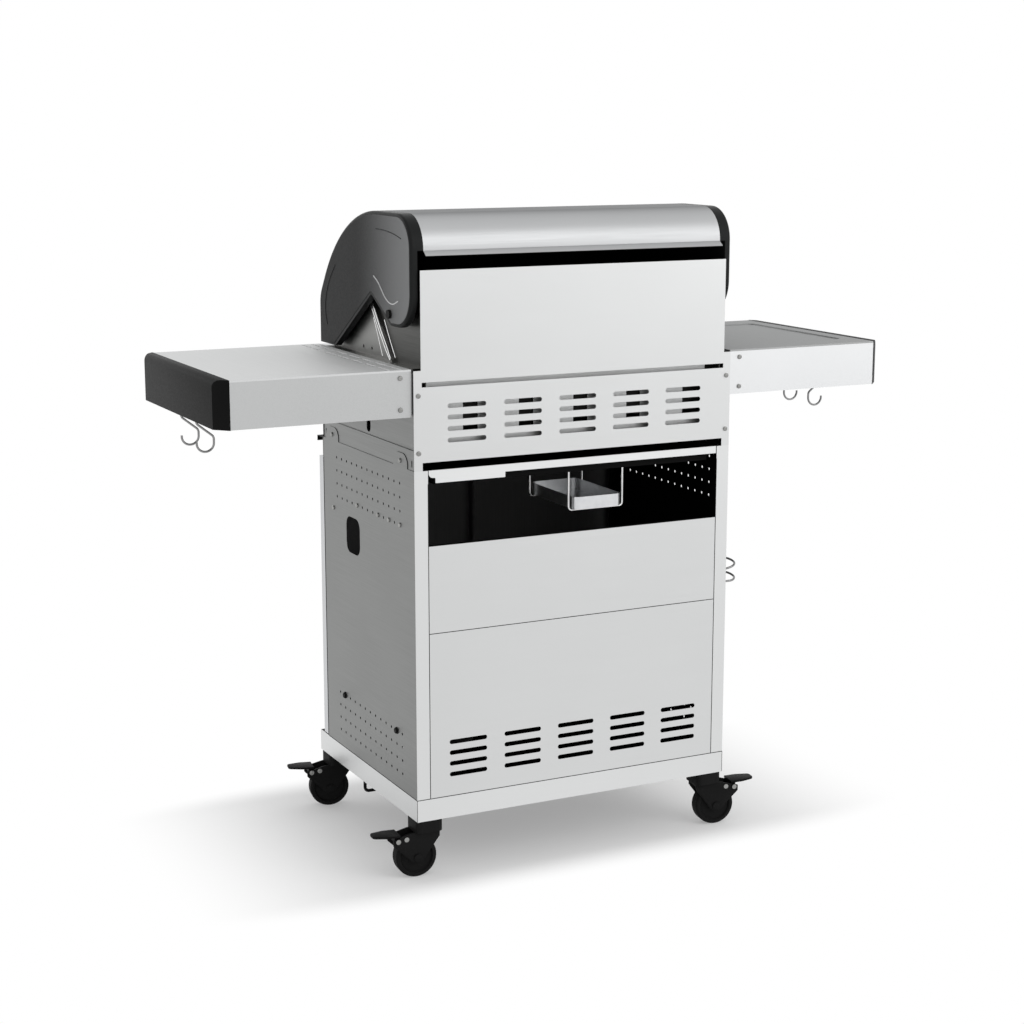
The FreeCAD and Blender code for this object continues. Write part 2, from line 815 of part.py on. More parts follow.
def door_hinge_pins():
    """A short pin on the sill and a long one below the beam lip, for each door."""
    low_end = BASE_TOP + D.door_floor_gap + D.hinge_pin_reach
    high_start = CABINET_TOP - D.door_top_drop - D.hinge_pin_reach
    pins = []
    for side in (-1, 1):
        x = HINGE_X * side
        pins.append(rod("z", D.hinge_pin_radius, BASE_TOP, low_end, x, HINGE_Y))
        pins.append(rod("z", D.hinge_pin_radius, high_start, BEAM_LIP_TOP - D.gauge, x, HINGE_Y))
    return group(*pins)


def housing_side():
    """Housing side: a rail behind the cabinet ears, a stepped-in upper sheet and the tray runner."""
    low = RUNNER_TOP - D.gauge
    rail = box(RAIL_FACE - D.gauge, RAIL_FACE, SIDE_FRONT, REAR_INSIDE, low, RAIL_TOP)
    step = box(HOUSING_FACE - D.gauge, RAIL_FACE, SIDE_FRONT, REAR_INSIDE, RAIL_TOP - D.gauge, RAIL_TOP)
    upper = box(
        HOUSING_FACE - D.gauge, HOUSING_FACE, SIDE_FRONT, REAR_INSIDE,
        RAIL_TOP - D.gauge, HOUSING_TOP,
    )
    runner = box(
        RAIL_FACE - D.runner_width, RAIL_FACE, SIDE_FRONT + D.seam, REAR_INSIDE - D.gauge * 2,
        low, RUNNER_TOP,
    )
    rail_slot_z = CABINET_TOP + D.rail_slot_rise
    openings = [
        side_slot(y, rail_slot_z, D.rail_slot_width, D.rail_slot_height)
        for y in (D.rail_slot_front, D.rail_slot_rear)
    ]
    openings.append(side_slot(
        D.side_slot_y, CABINET_TOP + D.side_slot_rise, D.side_slot_width, D.side_slot_height,
    ))
    ear_z = CABINET_TOP + D.ear_screw_rise
    openings += [drill_rail(y, ear_z) for y in (EAR_FRONT, EAR_REAR)]
    return cut(fuse(rail, step, upper, runner), solid(Part.makeCompound(openings)))


def side_slot(y, z, width, height):
    """A cutter for an upright round-ended slot in the right housing side."""
    corners = rectangle(y - width / 2, y + width / 2, z - height / 2, z + height / 2, width * ROUND_END)
    return plate("yz", HOUSING_FACE - D.gauge * 2, HALF, corners)


def drill_rail(y, z):
    """A cutter for a screw through the right housing rail."""
    start = Vector(float(RAIL_FACE - D.gauge * 2), float(y), float(z))
    return pin(D.screw_shank_radius + D.loose_fit, start, start + Vector(float(D.gauge) * 3, 0, 0))


def vent_panel():
    """Slotted rear panel of the housing, on two feet beside the tray opening."""
    foot = HALF - D.vent_foot_width
    sill = CABINET_TOP + D.vent_foot_height
    corners = [
        (-HALF, CABINET_TOP), (-foot, CABINET_TOP), (-foot, sill), (foot, sill),
        (foot, CABINET_TOP), (HALF, CABINET_TOP), (HALF, VENT_TOP), (-HALF, VENT_TOP),
    ]
    holes = slots(CABINET_TOP + D.vent_slots_rise, int(D.slot_rows))
    skin = solid(plate("xz", REAR_INSIDE, D.rear_face, corners, holes))
    drills = [rear_drill(x, z) for x, z in vent_screw_places()]
    return cut(skin, solid(Part.makeCompound(drills)))


def vent_screw_places():
    rises = (D.vent_screw_low, D.vent_screw_high)
    return [(side * (HALF - D.vent_screw_inset), CABINET_TOP + rise) for side in (-1, 1) for rise in rises]


def rear_drill(x, z):
    """A cutter for a screw through the rear sheet."""
    start = Vector(float(x), float(REAR_INSIDE - D.gauge), float(z))
    return pin(D.screw_shank_radius + D.loose_fit, start, start + Vector(0, float(D.gauge) * 3, 0))


def firebox_rear_panel():
    """Rear sheet of the firebox, wide at its feet, with a slit along its lower edge."""
    half = HALF - D.lid_cap_plate - D.rear_panel_gap
    slit = HALF - D.rear_slit_inset
    slit_top = VENT_TOP + D.rear_slit_height
    top = HOUSING_TOP + D.rear_panel_rise
    corners = [
        (-HALF, VENT_TOP), (-slit, VENT_TOP), (-slit, slit_top), (slit, slit_top), (slit, VENT_TOP),
        (HALF, VENT_TOP), (HALF, HOUSING_TOP), (half, HOUSING_TOP), (half, top),
        (-half, top), (-half, HOUSING_TOP), (-HALF, HOUSING_TOP),
    ]
    return solid(plate("xz", REAR_INSIDE, D.rear_face, corners))


def firebox_side():
    """Right wall of the firebox, with the spit plate on it, its folded rear edge and a rack pin pair."""
    inner = TUB_HALF - D.tub_wall
    wall = plate("yz", inner, TUB_HALF, [
        (TUB_FRONT, TUB_BOTTOM), (REAR_INSIDE, TUB_BOTTOM), (REAR_INSIDE, TUB_REAR_TOP),
        (PIVOT_Y - D.pivot_head * 3, TUB_REAR_TOP), (D.spit_front, SPIT_TOP - D.spit_notch_depth * 2),
        (TUB_FRONT, TUB_FRONT_TOP),
    ])
    notch_left = D.spit_notch_y - D.spit_notch_width / 2
    notch_right = D.spit_notch_y + D.spit_notch_width / 2
    notch_low = SPIT_TOP - D.spit_notch_depth
    notch_round = D.spit_notch_width * ROUND_END
    spit = plate("yz", TUB_HALF, TUB_HALF + D.spit_plate, [
        (TUB_FRONT, HOUSING_TOP), (D.spit_foot, HOUSING_TOP), (D.spit_rear, SPIT_TOP),
        (notch_right, SPIT_TOP), (notch_right, notch_low, notch_round),
        (notch_left, notch_low, notch_round), (notch_left, SPIT_TOP),
        (D.spit_front, SPIT_TOP), (TUB_FRONT, TUB_FRONT_TOP + D.spit_notch_depth),
    ])
    fold = plate("yz", TUB_HALF, TUB_HALF + D.spit_plate + D.spit_flange_rise, [
        (D.spit_foot - D.gauge, HOUSING_TOP), (D.spit_foot + D.spit_flange_width, HOUSING_TOP),
        (D.spit_rear + D.spit_flange_width, SPIT_TOP), (D.spit_rear - D.gauge, SPIT_TOP),
    ])
    flange = bar(TUB_HALF, HOUSING_FACE, TUB_FRONT, TUB_REAR, HOUSING_TOP, HOUSING_TOP + D.gauge)
    pins = []
    pin_z = RACK_Z - D.rack_rail - D.rack_pin_radius - D.loose_fit
    for y in (D.rack_front + D.rack_pin_radius * 3, D.rack_front + D.rack_depth - D.rack_pin_radius * 3):
        start = Vector(float(TUB_HALF - D.tub_wall / 2), float(y), float(pin_z))
        pins.append(pin(D.rack_pin_radius, start, start - Vector(float(D.rack_pin_length), 0, 0)))
    side = joined([wall, spit, fold, flange, *pins])
    through = Vector(float(D.tub_wall + D.spit_plate) + OVERCUT * 2, 0, 0)
    pivot = Vector(float(inner) - OVERCUT, float(PIVOT_Y), float(PIVOT_Z))
    holes = [pin(D.pivot_radius + D.running_fit, pivot, pivot + through)]
    for y in (D.spit_hole_front, D.spit_hole_rear):
        start = Vector(float(inner) - OVERCUT, float(y), float(HOUSING_TOP + D.spit_hole_rise))
        holes.append(pin(D.spit_hole_radius, start, start + through))
    return side.cut(holes)


def firebox_tub():
    """Open firebox: two sides, a front and a rear wall, ledges, and a bottom open in the middle."""
    side = firebox_side()
    other = side.mirror(Vector(), Vector(1, 0, 0))
    half = TUB_HALF - D.tub_wall
    front_in = TUB_FRONT + D.tub_wall
    rear_in = TUB_REAR - D.tub_wall
    walls = [
        bar(-half, half, TUB_FRONT, front_in, TUB_BOTTOM, TUB_FRONT_TOP),
        bar(-half, half, rear_in, TUB_REAR, TUB_BOTTOM, TUB_REAR_TOP - D.tub_flange),
    ]
    for level in (GRATE_LEVEL, TAMER_LEVEL):
        walls.append(bar(-half, half, front_in, front_in + D.ledge_depth, level - D.tub_wall, level))
        walls.append(bar(-half, half, rear_in - D.ledge_depth, rear_in, level - D.tub_wall, level))
    floor = plate("xy", TUB_BOTTOM, TUB_BOTTOM + D.tub_wall,
                  rectangle(-half, half, TUB_FRONT, TUB_REAR),
                  [rectangle(D.tub_flange - half, half - D.tub_flange,
                             front_in + D.tub_flange, rear_in - D.tub_flange)])
    tub = joined([side, other, floor, *walls])
    bores = []
    through = Vector(0, float(D.tub_wall) + OVERCUT * 2, 0)
    for x in KNOBS.values():
        start = Vector(float(x), float(TUB_FRONT) - OVERCUT, float(BURNER_Z))
        bores.append(pin(D.burner_radius + D.loose_fit, start, start + through))
    return solid(tub.cut(bores))


def burners():
    """Tube burners from the valve nozzles to the rear wall of the firebox."""
    tubes = []
    front = TUB_FRONT - D.burner_ahead
    rear = TUB_REAR - D.tub_wall
    inside = D.burner_radius - D.burner_wall
    for x in KNOBS.values():
        wall = rod("y", D.burner_radius, front, rear, x, BURNER_Z)
        bore = rod("y", inside, front - OVERCUT, rear - D.burner_wall, x, BURNER_Z)
        tubes.append(cut(wall, bore))
    return group(*tubes)


def flame_tamers():
    """A roof of bent sheet over each burner, resting on the lower ledges."""
    low = TAMER_LEVEL
    front = TUB_FRONT + D.tub_wall + D.seam
    rear = TUB_REAR - D.tub_wall - D.seam
    roofs = []
    for x in KNOBS.values():
        left = x - D.tamer_width / 2
        right = x + D.tamer_width / 2
        ridge = low + D.tamer_rise
        roofs.append(plate("xz", front, rear, [
            (left, low), (left + D.gauge * 2, low), (x, ridge - D.gauge * 2), (right - D.gauge * 2, low),
            (right, low), (x, ridge),
        ]))
    return solid(Part.makeCompound(roofs))


def cooking_grates():
    """Two cast grates on the upper ledges, each with bars along its depth."""
    low = GRATE_LEVEL
    high = low + D.grate_height
    front = TUB_FRONT + D.tub_wall + D.seam
    rear = TUB_REAR - D.tub_wall - D.seam
    outer = TUB_HALF - D.tub_wall - D.seam
    inner = D.grate_gap / 2
    count = int(D.grate_bars)
    pitch = (outer - inner - D.grate_bar) / (count - 1)
    halves = []
    for side in (-1, 1):
        bars = [
            bar(side * inner, side * outer, front, front + D.grate_bar, low, high),
            bar(side * inner, side * outer, rear - D.grate_bar, rear, low, high),
        ]
        for i in range(count):
            x = inner + pitch * i
            bars.append(bar(side * x, side * (x + D.grate_bar), front, rear, low, high))
        halves.append(joined(bars))
    return solid(Part.makeCompound(halves))


def warming_rack():
    """Wire rack above the rear of the grates, on pins of the firebox sides."""
    rear = D.rack_front + D.rack_depth
    rail_x = TUB_HALF - D.tub_wall - D.rack_pin_length / 2
    step = D.rack_depth / (int(D.rack_wires) - 1)
    wires = []
    for side in (-1, 1):
        start = Vector(float(rail_x * side), float(D.rack_front), float(RACK_Z))
        wires.append(pin(D.rack_rail, start, start + Vector(0, float(D.rack_depth), 0)))
    for i in range(int(D.rack_wires)):
        start = Vector(-float(rail_x), float(rear - step * i), float(RACK_Z))
        wires.append(pin(D.rack_wire, start, start + Vector(float(rail_x) * 2, 0, 0)))
    return solid(joined(wires))


def control_panel():
    """Front fascia: a rounded folded sheet with holes for the stems, the igniter and the gas hose."""
    corner = D.control_corner
    back = SIDE_FRONT - D.gauge
    front_in = CONTROL_FRONT + D.gauge
    low_in = RAIL_TOP + D.gauge
    top_in = CONTROL_TOP - D.gauge
    outer = [
        (back, RAIL_TOP), (CONTROL_FRONT, RAIL_TOP, corner / 2),
        (CONTROL_FRONT, CONTROL_TOP, corner), (back, CONTROL_TOP),
    ]
    inner = [
        (SIDE_FRONT, low_in), (front_in, low_in, corner / 2 - D.gauge),
        (front_in, top_in, corner - D.gauge), (SIDE_FRONT, top_in),
    ]
    shell = plate("yz", -HALF, HALF, outer).cut(plate("yz", D.gauge - HALF, HALF - D.gauge, inner))
    ends = []
    for side in (-1, 1):
        inside = side * (HALF - D.control_return)
        ends.append(bar(inside, side * HALF, back, SIDE_FRONT, RAIL_TOP, CONTROL_TOP))
    fascia = joined([shell, *ends])
    holes = [(x, D.stem_hole_radius) for x in KNOBS.values()]
    holes.append((IGNITER_X, D.igniter_radius + D.loose_fit))
    bores = []
    for x, radius in holes:
        start = Vector(float(x), float(CONTROL_FRONT) - OVERCUT, float(KNOB_Z))
        bores.append(pin(radius, start, start + Vector(0, float(D.gauge) + OVERCUT * 2, 0)))
    below = Vector(float(D.inlet_x), float(PIPE_Y), float(RAIL_TOP) - OVERCUT)
    bores.append(pin(D.hose_hole_radius, below, below + Vector(0, 0, float(D.gauge) + OVERCUT * 2)))
    return solid(fascia.cut(bores))


def gas_manifold():
    """Gas pipe with a valve body behind each knob, a nozzle for each burner and a threaded inlet."""
    valve_front = PIPE_Y - D.valve_depth / 2
    valve_rear = PIPE_Y + D.valve_depth / 2
    collar_front = CONTROL_FRONT + D.gauge
    pieces = [
        rod("x", D.pipe_radius, -D.burner_pitch - D.pipe_overrun, D.inlet_x + D.pipe_end, PIPE_Y, KNOB_Z),
        rod("z", D.inlet_radius, KNOB_Z - D.inlet_drop, KNOB_Z, D.inlet_x, PIPE_Y),
        rod("z", D.inlet_collar_radius, KNOB_Z - D.inlet_collar_drop, KNOB_Z, D.inlet_x, PIPE_Y),
    ]
    bore_end = collar_front + D.stem_seat + D.loose_fit
    bores = []
    for x in KNOBS.values():
        pieces.append(box(
            x - D.valve_half, x + D.valve_half, valve_front, valve_rear,
            KNOB_Z - D.valve_half, KNOB_Z + D.valve_half,
        ))
        pieces.append(rod("y", D.collar_radius, collar_front, valve_front + OVERCUT, x, KNOB_Z))
        nozzle_end = valve_rear + D.nozzle_length
        pieces.append(rod("y", D.nozzle_radius, valve_rear - OVERCUT, nozzle_end, x, BURNER_Z))
        bores.append(rod("y", D.stem_radius + D.running_fit, collar_front - OVERCUT, bore_end, x, KNOB_Z))
    return cut(fuse(*pieces), *bores)


def valve_stem(x):
    """Round valve stem with a flat on its front end for the knob."""
    front = CONTROL_FRONT - D.stem_reach
    flat_end = CONTROL_FRONT - D.knob_gap + D.loose_fit
    stem = rod("y", D.stem_radius, front, CONTROL_FRONT + D.gauge + D.stem_seat, x, KNOB_Z)
    flat = box(
        x - D.stem_radius, x + D.stem_radius, front - OVERCUT, flat_end + D.knob_gap,
        KNOB_Z + D.stem_radius - D.stem_flat, KNOB_Z + D.stem_radius + OVERCUT,
    )
    return cut(stem, flat)


def knob(x):
    """Turned knob: a skirt, a tapered grip with a raised pointer bar, and a flatted bore."""
    body = doc.addObject("PartDesign::Body", "Knob")
    sketch = body.newObject("Sketcher::SketchObject", "KnobProfile")
    plane = [item for item in body.Origin.OriginFeatures if item.Role == "XY_Plane"][0]
    sketch.AttachmentSupport = [(plane, "")]
    sketch.MapMode = "FlatFace"
    back = CONTROL_FRONT - D.knob_gap
    corners = [
        (Size(0, "0"), back), (D.knob_skirt_radius, back),
        (D.knob_skirt_radius, back - D.knob_skirt_height),
        (D.knob_grip_radius, back - D.knob_shoulder),
        (D.knob_front_radius, back - D.knob_height), (Size(0, "0"), back - D.knob_height),
    ]
    closed_profile(sketch, corners)
    turn = body.newObject("PartDesign::Revolution", "KnobTurn")
    turn.Profile = sketch
    turn.ReferenceAxis = (sketch, ["V_Axis"])
    turn.Angle = 360
    bind(body, "Placement.Base.x", x)
    bind(body, "Placement.Base.z", KNOB_Z)
    pointer = box(
        x - D.knob_pointer_half, x + D.knob_pointer_half,
        back - D.knob_height - D.gauge, back - D.knob_skirt_height,
        KNOB_Z - D.knob_grip_radius, KNOB_Z + D.knob_grip_radius,
    )
    depth = D.stem_reach - D.knob_gap + D.knob_travel_room
    bore = rod("y", D.stem_radius + D.running_fit, back - depth, back + OVERCUT, x, KNOB_Z)
    flat = box(
        x - D.stem_radius * 2, x + D.stem_radius * 2, back - depth - OVERCUT, back + OVERCUT * 2,
        KNOB_Z + D.stem_radius - D.stem_flat + D.running_fit, KNOB_Z + D.stem_radius * 3,
    )
    return cut(fuse(body, pointer), cut(bore, flat))


def closed_profile(sketch, corners):
    """Straight sides through corners, every corner held to the sketch's axes by the sheet."""
    points = [Vector(float(a), float(b), 0) for a, b in corners]
    count = len(points)
    for i in range(count):
        sketch.addGeometry(Part.LineSegment(points[i], points[(i + 1) % count]), False)
    for i in range(count):
        sketch.addConstraint(Sketcher.Constraint("Coincident", i, 2, (i + 1) % count, 1))
    for i, (across, along) in enumerate(corners):
        if float(across) == 0:
            sketch.addConstraint(Sketcher.Constraint("PointOnObject", i, 1, -2))
        else:
            held = sketch.addConstraint(Sketcher.Constraint("DistanceX", -1, 1, i, 1, float(across)))
            sketch.setExpression(f"Constraints[{held}]", words(across))
        held = sketch.addConstraint(Sketcher.Constraint("DistanceY", -1, 1, i, 1, float(along)))
        sketch.setExpression(f"Constraints[{held}]", words(along))


def igniter_button():
    """Round push button with a flange inside the fascia that keeps it from falling out."""
    inside = CONTROL_FRONT + D.gauge + D.loose_fit
    button = rod("y", D.igniter_radius, CONTROL_FRONT - D.igniter_proud, inside + D.igniter_length,
                 IGNITER_X, KNOB_Z)
    flange = rod("y", D.igniter_radius + D.igniter_flange, inside, inside + D.igniter_flange,
                 IGNITER_X, KNOB_Z)
    return fuse(button, flange)


def grease_tray():
    """Shallow pan on the runners, with a drain and a rear lip that has a deeper grip."""
    top = TRAY_FLANGE + D.gauge
    lip_rear = D.rear_face - D.loose_fit
    lip_front = lip_rear - D.gauge
    lip_low = TRAY_FLANGE - D.tray_lip_drop
    lip_high = TRAY_FLANGE + D.tray_lip_rise
    grip_low = TRAY_FLANGE - D.tray_grip_drop
    grip_right = TRAY_HALF - D.tray_grip_inset
    grip_left = grip_right - D.tray_grip_length
    pan = box(-TRAY_WALL, TRAY_WALL, TRAY_FRONT, TRAY_REAR, TRAY_FLOOR, top)
    hollow = box(
        D.gauge - TRAY_WALL, TRAY_WALL - D.gauge, TRAY_FRONT + D.gauge, TRAY_REAR - D.gauge,
        TRAY_FLOOR + D.gauge, top + OVERCUT,
    )
    flanges = [
        box(TRAY_WALL - D.gauge, TRAY_HALF, TRAY_FRONT, TRAY_REAR, TRAY_FLANGE, top),
        box(-TRAY_HALF, D.gauge - TRAY_WALL, TRAY_FRONT, TRAY_REAR, TRAY_FLANGE, top),
    ]
    shelf = box(-TRAY_WALL, TRAY_WALL, TRAY_REAR - D.gauge, lip_rear, TRAY_FLANGE, top)
    lip = solid(plate("xz", lip_front, lip_rear, [
        (-TRAY_HALF, lip_low), (grip_left, lip_low), (grip_left, grip_low), (grip_right, grip_low),
        (grip_right, lip_low, D.tray_lip_corner / 4), (TRAY_HALF, lip_low, D.tray_lip_corner),
        (TRAY_HALF, lip_high), (-TRAY_HALF, lip_high),
    ]))
    floor_top = TRAY_FLOOR + D.gauge
    drain = rod("z", D.tray_drain_radius, TRAY_FLOOR - OVERCUT, floor_top + OVERCUT, D.cup_x, D.cup_y)
    return cut(fuse(cut(pan, hollow), *flanges, shelf, lip), drain)


def cup_holder():
    """Two bent wires below the tray that carry the drip cup."""
    wires = []
    half = D.cup_width / 2 + D.holder_gap
    stops = (
        (D.cup_x - half, TRAY_FLOOR), (D.cup_x - half, HOLDER_LOW),
        (D.cup_x + half, HOLDER_LOW), (D.cup_x + half, TRAY_FLOOR),
    )
    for side in (-0.5, 0.5):
        y = float(D.cup_y + D.holder_pitch * side)
        points = [Vector(float(x), y, float(z)) for x, z in stops]
        wires.append(tube(points, [D.holder_bend] * len(points), D.holder_wire))
    return solid(Part.makeCompound(wires))


def drip_cup():
    """Rounded open cup on the wires."""
    low = HOLDER_LOW + D.holder_wire + D.loose_fit
    high = low + D.cup_height
    half = D.cup_width / 2
    long_half = D.cup_length / 2
    wall = D.cup_wall
    outer = rectangle(
        D.cup_x - half, D.cup_x + half, D.cup_y - long_half, D.cup_y + long_half, D.cup_corner,
    )
    inner = rectangle(
        D.cup_x - half + wall, D.cup_x + half - wall,
        D.cup_y - long_half + wall, D.cup_y + long_half - wall, D.cup_corner - wall,
    )
    return solid(plate("xy", low, high, outer).cut(plate("xy", low + wall, high + OVERCUT, inner)))


def shelf_box(tools):
    """Right shelf: a folded steel box, open below, with a mounting plate and a rail for hooks."""
    block = box(SHELF_INNER, SHELF_OUTER, SHELF_FRONT, SHELF_REAR, SHELF_BOTTOM, SHELF_TOP)
    hollow = box(
        SHELF_INNER + D.gauge, SHELF_OUTER + OVERCUT, SHELF_FRONT + D.gauge, SHELF_REAR - D.gauge,
        SHELF_BOTTOM - OVERCUT, SHELF_TOP - D.gauge,
    )
    inset = D.shelf_plate_inset
    foot = box(
        HOUSING_FACE, SHELF_INNER, SIDE_FRONT, SHELF_REAR - inset,
        SHELF_BOTTOM + inset, SHELF_TOP - inset,
    )
    drills = []
    through = Vector(0, float(D.gauge) * 4, 0)
    for y, z in shelf_screw_places():
        start = Vector(float(SHELF_INNER + D.shelf_screw_inset), float(y), float(z)) - through / 2
        drills.append(pin(D.screw_shank_radius + D.loose_fit, start, start + through))
    rail = rod(
        "y", D.hook_rail_radius, SHELF_FRONT + D.gauge, SHELF_REAR - D.gauge, HOOK_RAIL_X, HOOK_RAIL_Z,
    )
    box_part = cut(fuse(block, foot), hollow, solid(Part.makeCompound(drills)), *tools)
    return box_part, rail


def shelf_screw_places():
    """Heights of the screws on the rear and front faces of a shelf, near its inner end."""
    heights = (SHELF_BOTTOM + D.shelf_screw_margin, SHELF_TOP - D.shelf_screw_margin)
    return [(y, z) for y in (SHELF_REAR, SHELF_FRONT) for z in heights]


def shelf_right():
    """Shelf with two rows of slots along its inner edge."""
    count = int(D.shelf_slot_count)
    half = D.shelf_slot_length / 2
    wide = D.shelf_slot_width / 2
    first = SHELF_FRONT + D.shelf_slot_margin + half
    last = SHELF_REAR - D.shelf_slot_margin - half
    pitch = (last - first) / (count - 1)
    cutters = []
    for row in range(2):
        x = SHELF_INNER + D.shelf_slot_first_row + D.shelf_slot_row_pitch * row
        for i in range(count):
            y = first + pitch * i
            corners = rectangle(x - wide, x + wide, y - half, y + half, D.shelf_slot_width * ROUND_END)
            cutters.append(plate("xy", SHELF_TOP - D.gauge * 2, SHELF_TOP + OVERCUT, corners))
    return group(*shelf_box([solid(Part.makeCompound(cutters))]))


def shelf_left():
    """Shelf with a shallow pressed recess in its top."""
    margin = D.shelf_recess_margin
    floor = SHELF_TOP - D.shelf_recess_depth
    area = rectangle(
        SHELF_INNER + margin, SHELF_OUTER - margin,
        SHELF_FRONT + D.shelf_recess_front, SHELF_REAR - D.shelf_recess_rear, D.shelf_recess_corner,
    )
    inner = rectangle(
        SHELF_INNER + margin - D.gauge, SHELF_OUTER - margin + D.gauge,
        SHELF_FRONT + D.shelf_recess_front - D.gauge,
        SHELF_REAR - D.shelf_recess_rear + D.gauge, D.shelf_recess_corner + D.gauge,
    )
    well = solid(plate("xy", floor, SHELF_TOP + OVERCUT, area))
    pressed = solid(plate("xy", floor - D.gauge, SHELF_TOP - D.gauge / 2, inner))
    box_part, rail = shelf_box([])
    return group(mirror(cut(fuse(box_part, pressed), well)), mirror(rail))


def shelf_cap():
    """Black end of a shelf: chamfered corners, a rounded upper edge, hollow and open below."""
    outer_end = SHELF_OUTER + D.cap_length
    low = SHELF_BOTTOM - D.cap_proud
    high = SHELF_TOP + D.cap_proud
    front = SHELF_FRONT - D.cap_proud
    rear = SHELF_REAR + D.cap_proud
    plan = [
        (SHELF_OUTER, front), (outer_end, front + D.cap_chamfer), (outer_end, rear - D.cap_chamfer),
        (SHELF_OUTER, rear),
    ]
    side = [
        (SHELF_OUTER, low), (outer_end, low), (outer_end, high, D.cap_edge), (SHELF_OUTER, high),
    ]
    wall = D.cap_wall
    hollow_plan = [
        (SHELF_OUTER - OVERCUT, front + wall * 2), (SHELF_OUTER + wall, front + wall * 2),
        (outer_end - wall, front + D.cap_chamfer + wall), (outer_end - wall, rear - D.cap_chamfer - wall),
        (SHELF_OUTER + wall, rear - wall * 2), (SHELF_OUTER - OVERCUT, rear - wall * 2),
    ]
    hollow_side = [
        (SHELF_OUTER - OVERCUT, low - OVERCUT), (outer_end - wall, low - OVERCUT),
        (outer_end - wall, high - wall, D.cap_edge - wall), (SHELF_OUTER - OVERCUT, high - wall),
    ]
    block = plate("xy", low, high, plan).common(plate("xz", front, rear, side))
    hollow = plate("xy", low - OVERCUT, high, hollow_plan).common(plate("xz", front, rear, hollow_side))
    return solid(block.cut(hollow))


def hook(side, y):
    """S-hook of round wire: a small crown over the rail and a wide loop that opens outward."""
    crown = D.hook_crown
    loop = D.hook_loop
    top = HOOK_RAIL_Z + D.hook_rail_radius + D.hook_wire + D.loose_fit
    inner_leg = HOOK_RAIL_X - crown
    outer_leg = HOOK_RAIL_X + crown
    stem = outer_leg - loop * 2
    crown_round = crown * 2 * ROUND_END
    loop_round = loop * 2 * ROUND_END
    stops = [
        (inner_leg, top - crown - D.hook_wire * 2, 0), (inner_leg, top, crown_round),
        (outer_leg, top, crown_round), (outer_leg, top - D.hook_lean, crown),
        (stem, HOOK_BOTTOM + loop + D.hook_lean / 2, crown), (stem, HOOK_BOTTOM, loop_round),
        (outer_leg, HOOK_BOTTOM, loop_round), (outer_leg, HOOK_BOTTOM + loop + D.hook_wire, 0),
    ]
    points = [Vector(side * float(x), float(y), float(z)) for x, z, _ in stops]
    return solid(tube(points, [stop[2] for stop in stops], D.hook_wire))


def lid_front_corners():
    """The lid's section from its front edge over the top, shared by its skin and its caps."""
    return [
        (LID_FRONT, LID_BASE), (LID_FRONT, LID_SHOULDER, D.lid_front_bend),
        (LID_BROW, LID_TOP, D.lid_top_bend), (LID_REAR, LID_TOP, D.lid_rear_bend),
    ]


def lid_strip(corners, depth, low, high):
    """A sheet of even depth below an open section, between two levels along X."""
    points = [place("yz", low, corner[0], corner[1]) for corner in corners]
    radii = [corner[2] if len(corner) > 2 else 0 for corner in corners]
    path = bends(points, radii, False)
    strips = [path.makeOffset2D(sign * float(depth), 0, True, True, False) for sign in (-1, 1)]
    strip = min(strips, key=lambda face: face.BoundBox.ZMax)
    return strip.extrude(Vector(float(high) - float(low), 0, 0))


def lid_skin():
    """Curved steel sheet with a flared rear lip and a hole for the thermometer."""
    corners = lid_front_corners() + [
        (LID_REAR, LID_SKIN_END), (LID_REAR + D.lid_lip, LID_SKIN_END - D.lid_lip_drop),
    ]
    skin = lid_strip(corners, D.gauge, -LID_SKIN_HALF, LID_SKIN_HALF)
    seat, normal = gauge_seat()
    through = normal * float(D.gauge_depth)
    bore = pin(D.gauge_stem_radius + D.loose_fit, seat - through, seat + through)
    return solid(skin.cut(bore))


def gauge_seat():
    """Where the thermometer sits on the lid's top bend, and the direction it faces."""
    angle = math.radians(float(D.gauge_angle))
    normal = Vector(0, -math.cos(angle), math.sin(angle))
    return top_bend() + normal * float(D.lid_top_bend), normal


def top_bend():
    """The centre of the lid's broad top bend."""
    lean = math.atan2(float(LID_TOP - LID_SHOULDER), float(D.lid_slope_run))
    reach = float(D.lid_top_bend) * math.tan(lean / 2)
    return Vector(0, float(LID_BROW) + reach, float(LID_TOP - D.lid_top_bend))


def lid_cap():
    """Right lid end: a thick plate with a notch and a hinge lobe, and a rim over the skin's end."""
    lobe_low = PIVOT_Z - D.lid_lobe_drop
    corners = lid_front_corners() + [
        (LID_REAR, lobe_low, D.lid_lobe_bend), (PIVOT_Y + D.lid_lobe_ahead, lobe_low),
        (D.lid_notch_y, LID_NOTCH_Z, D.lid_notch_bend), (LID_FRONT + D.lid_notch_inset, LID_BASE),
    ]
    inside = HALF - D.lid_cap_plate
    end = plate("yz", inside, HALF, corners)
    rounded = [edge for edge in end.Edges if on_outer_run(edge)]
    end = end.makeFillet(float(D.lid_cap_edge), rounded)
    rim_corners = lid_front_corners() + [(LID_REAR, LID_SKIN_END)]
    rim = lid_strip(rim_corners, D.lid_cap_rim_depth, LID_SKIN_HALF, inside)
    start = Vector(float(inside) - OVERCUT, float(PIVOT_Y), float(PIVOT_Z))
    through = Vector(float(D.lid_cap_plate) + OVERCUT * 2, 0, 0)
    bore = pin(D.pivot_radius + D.running_fit, start, start + through)
    return solid(joined([end, rim]).cut(bore))


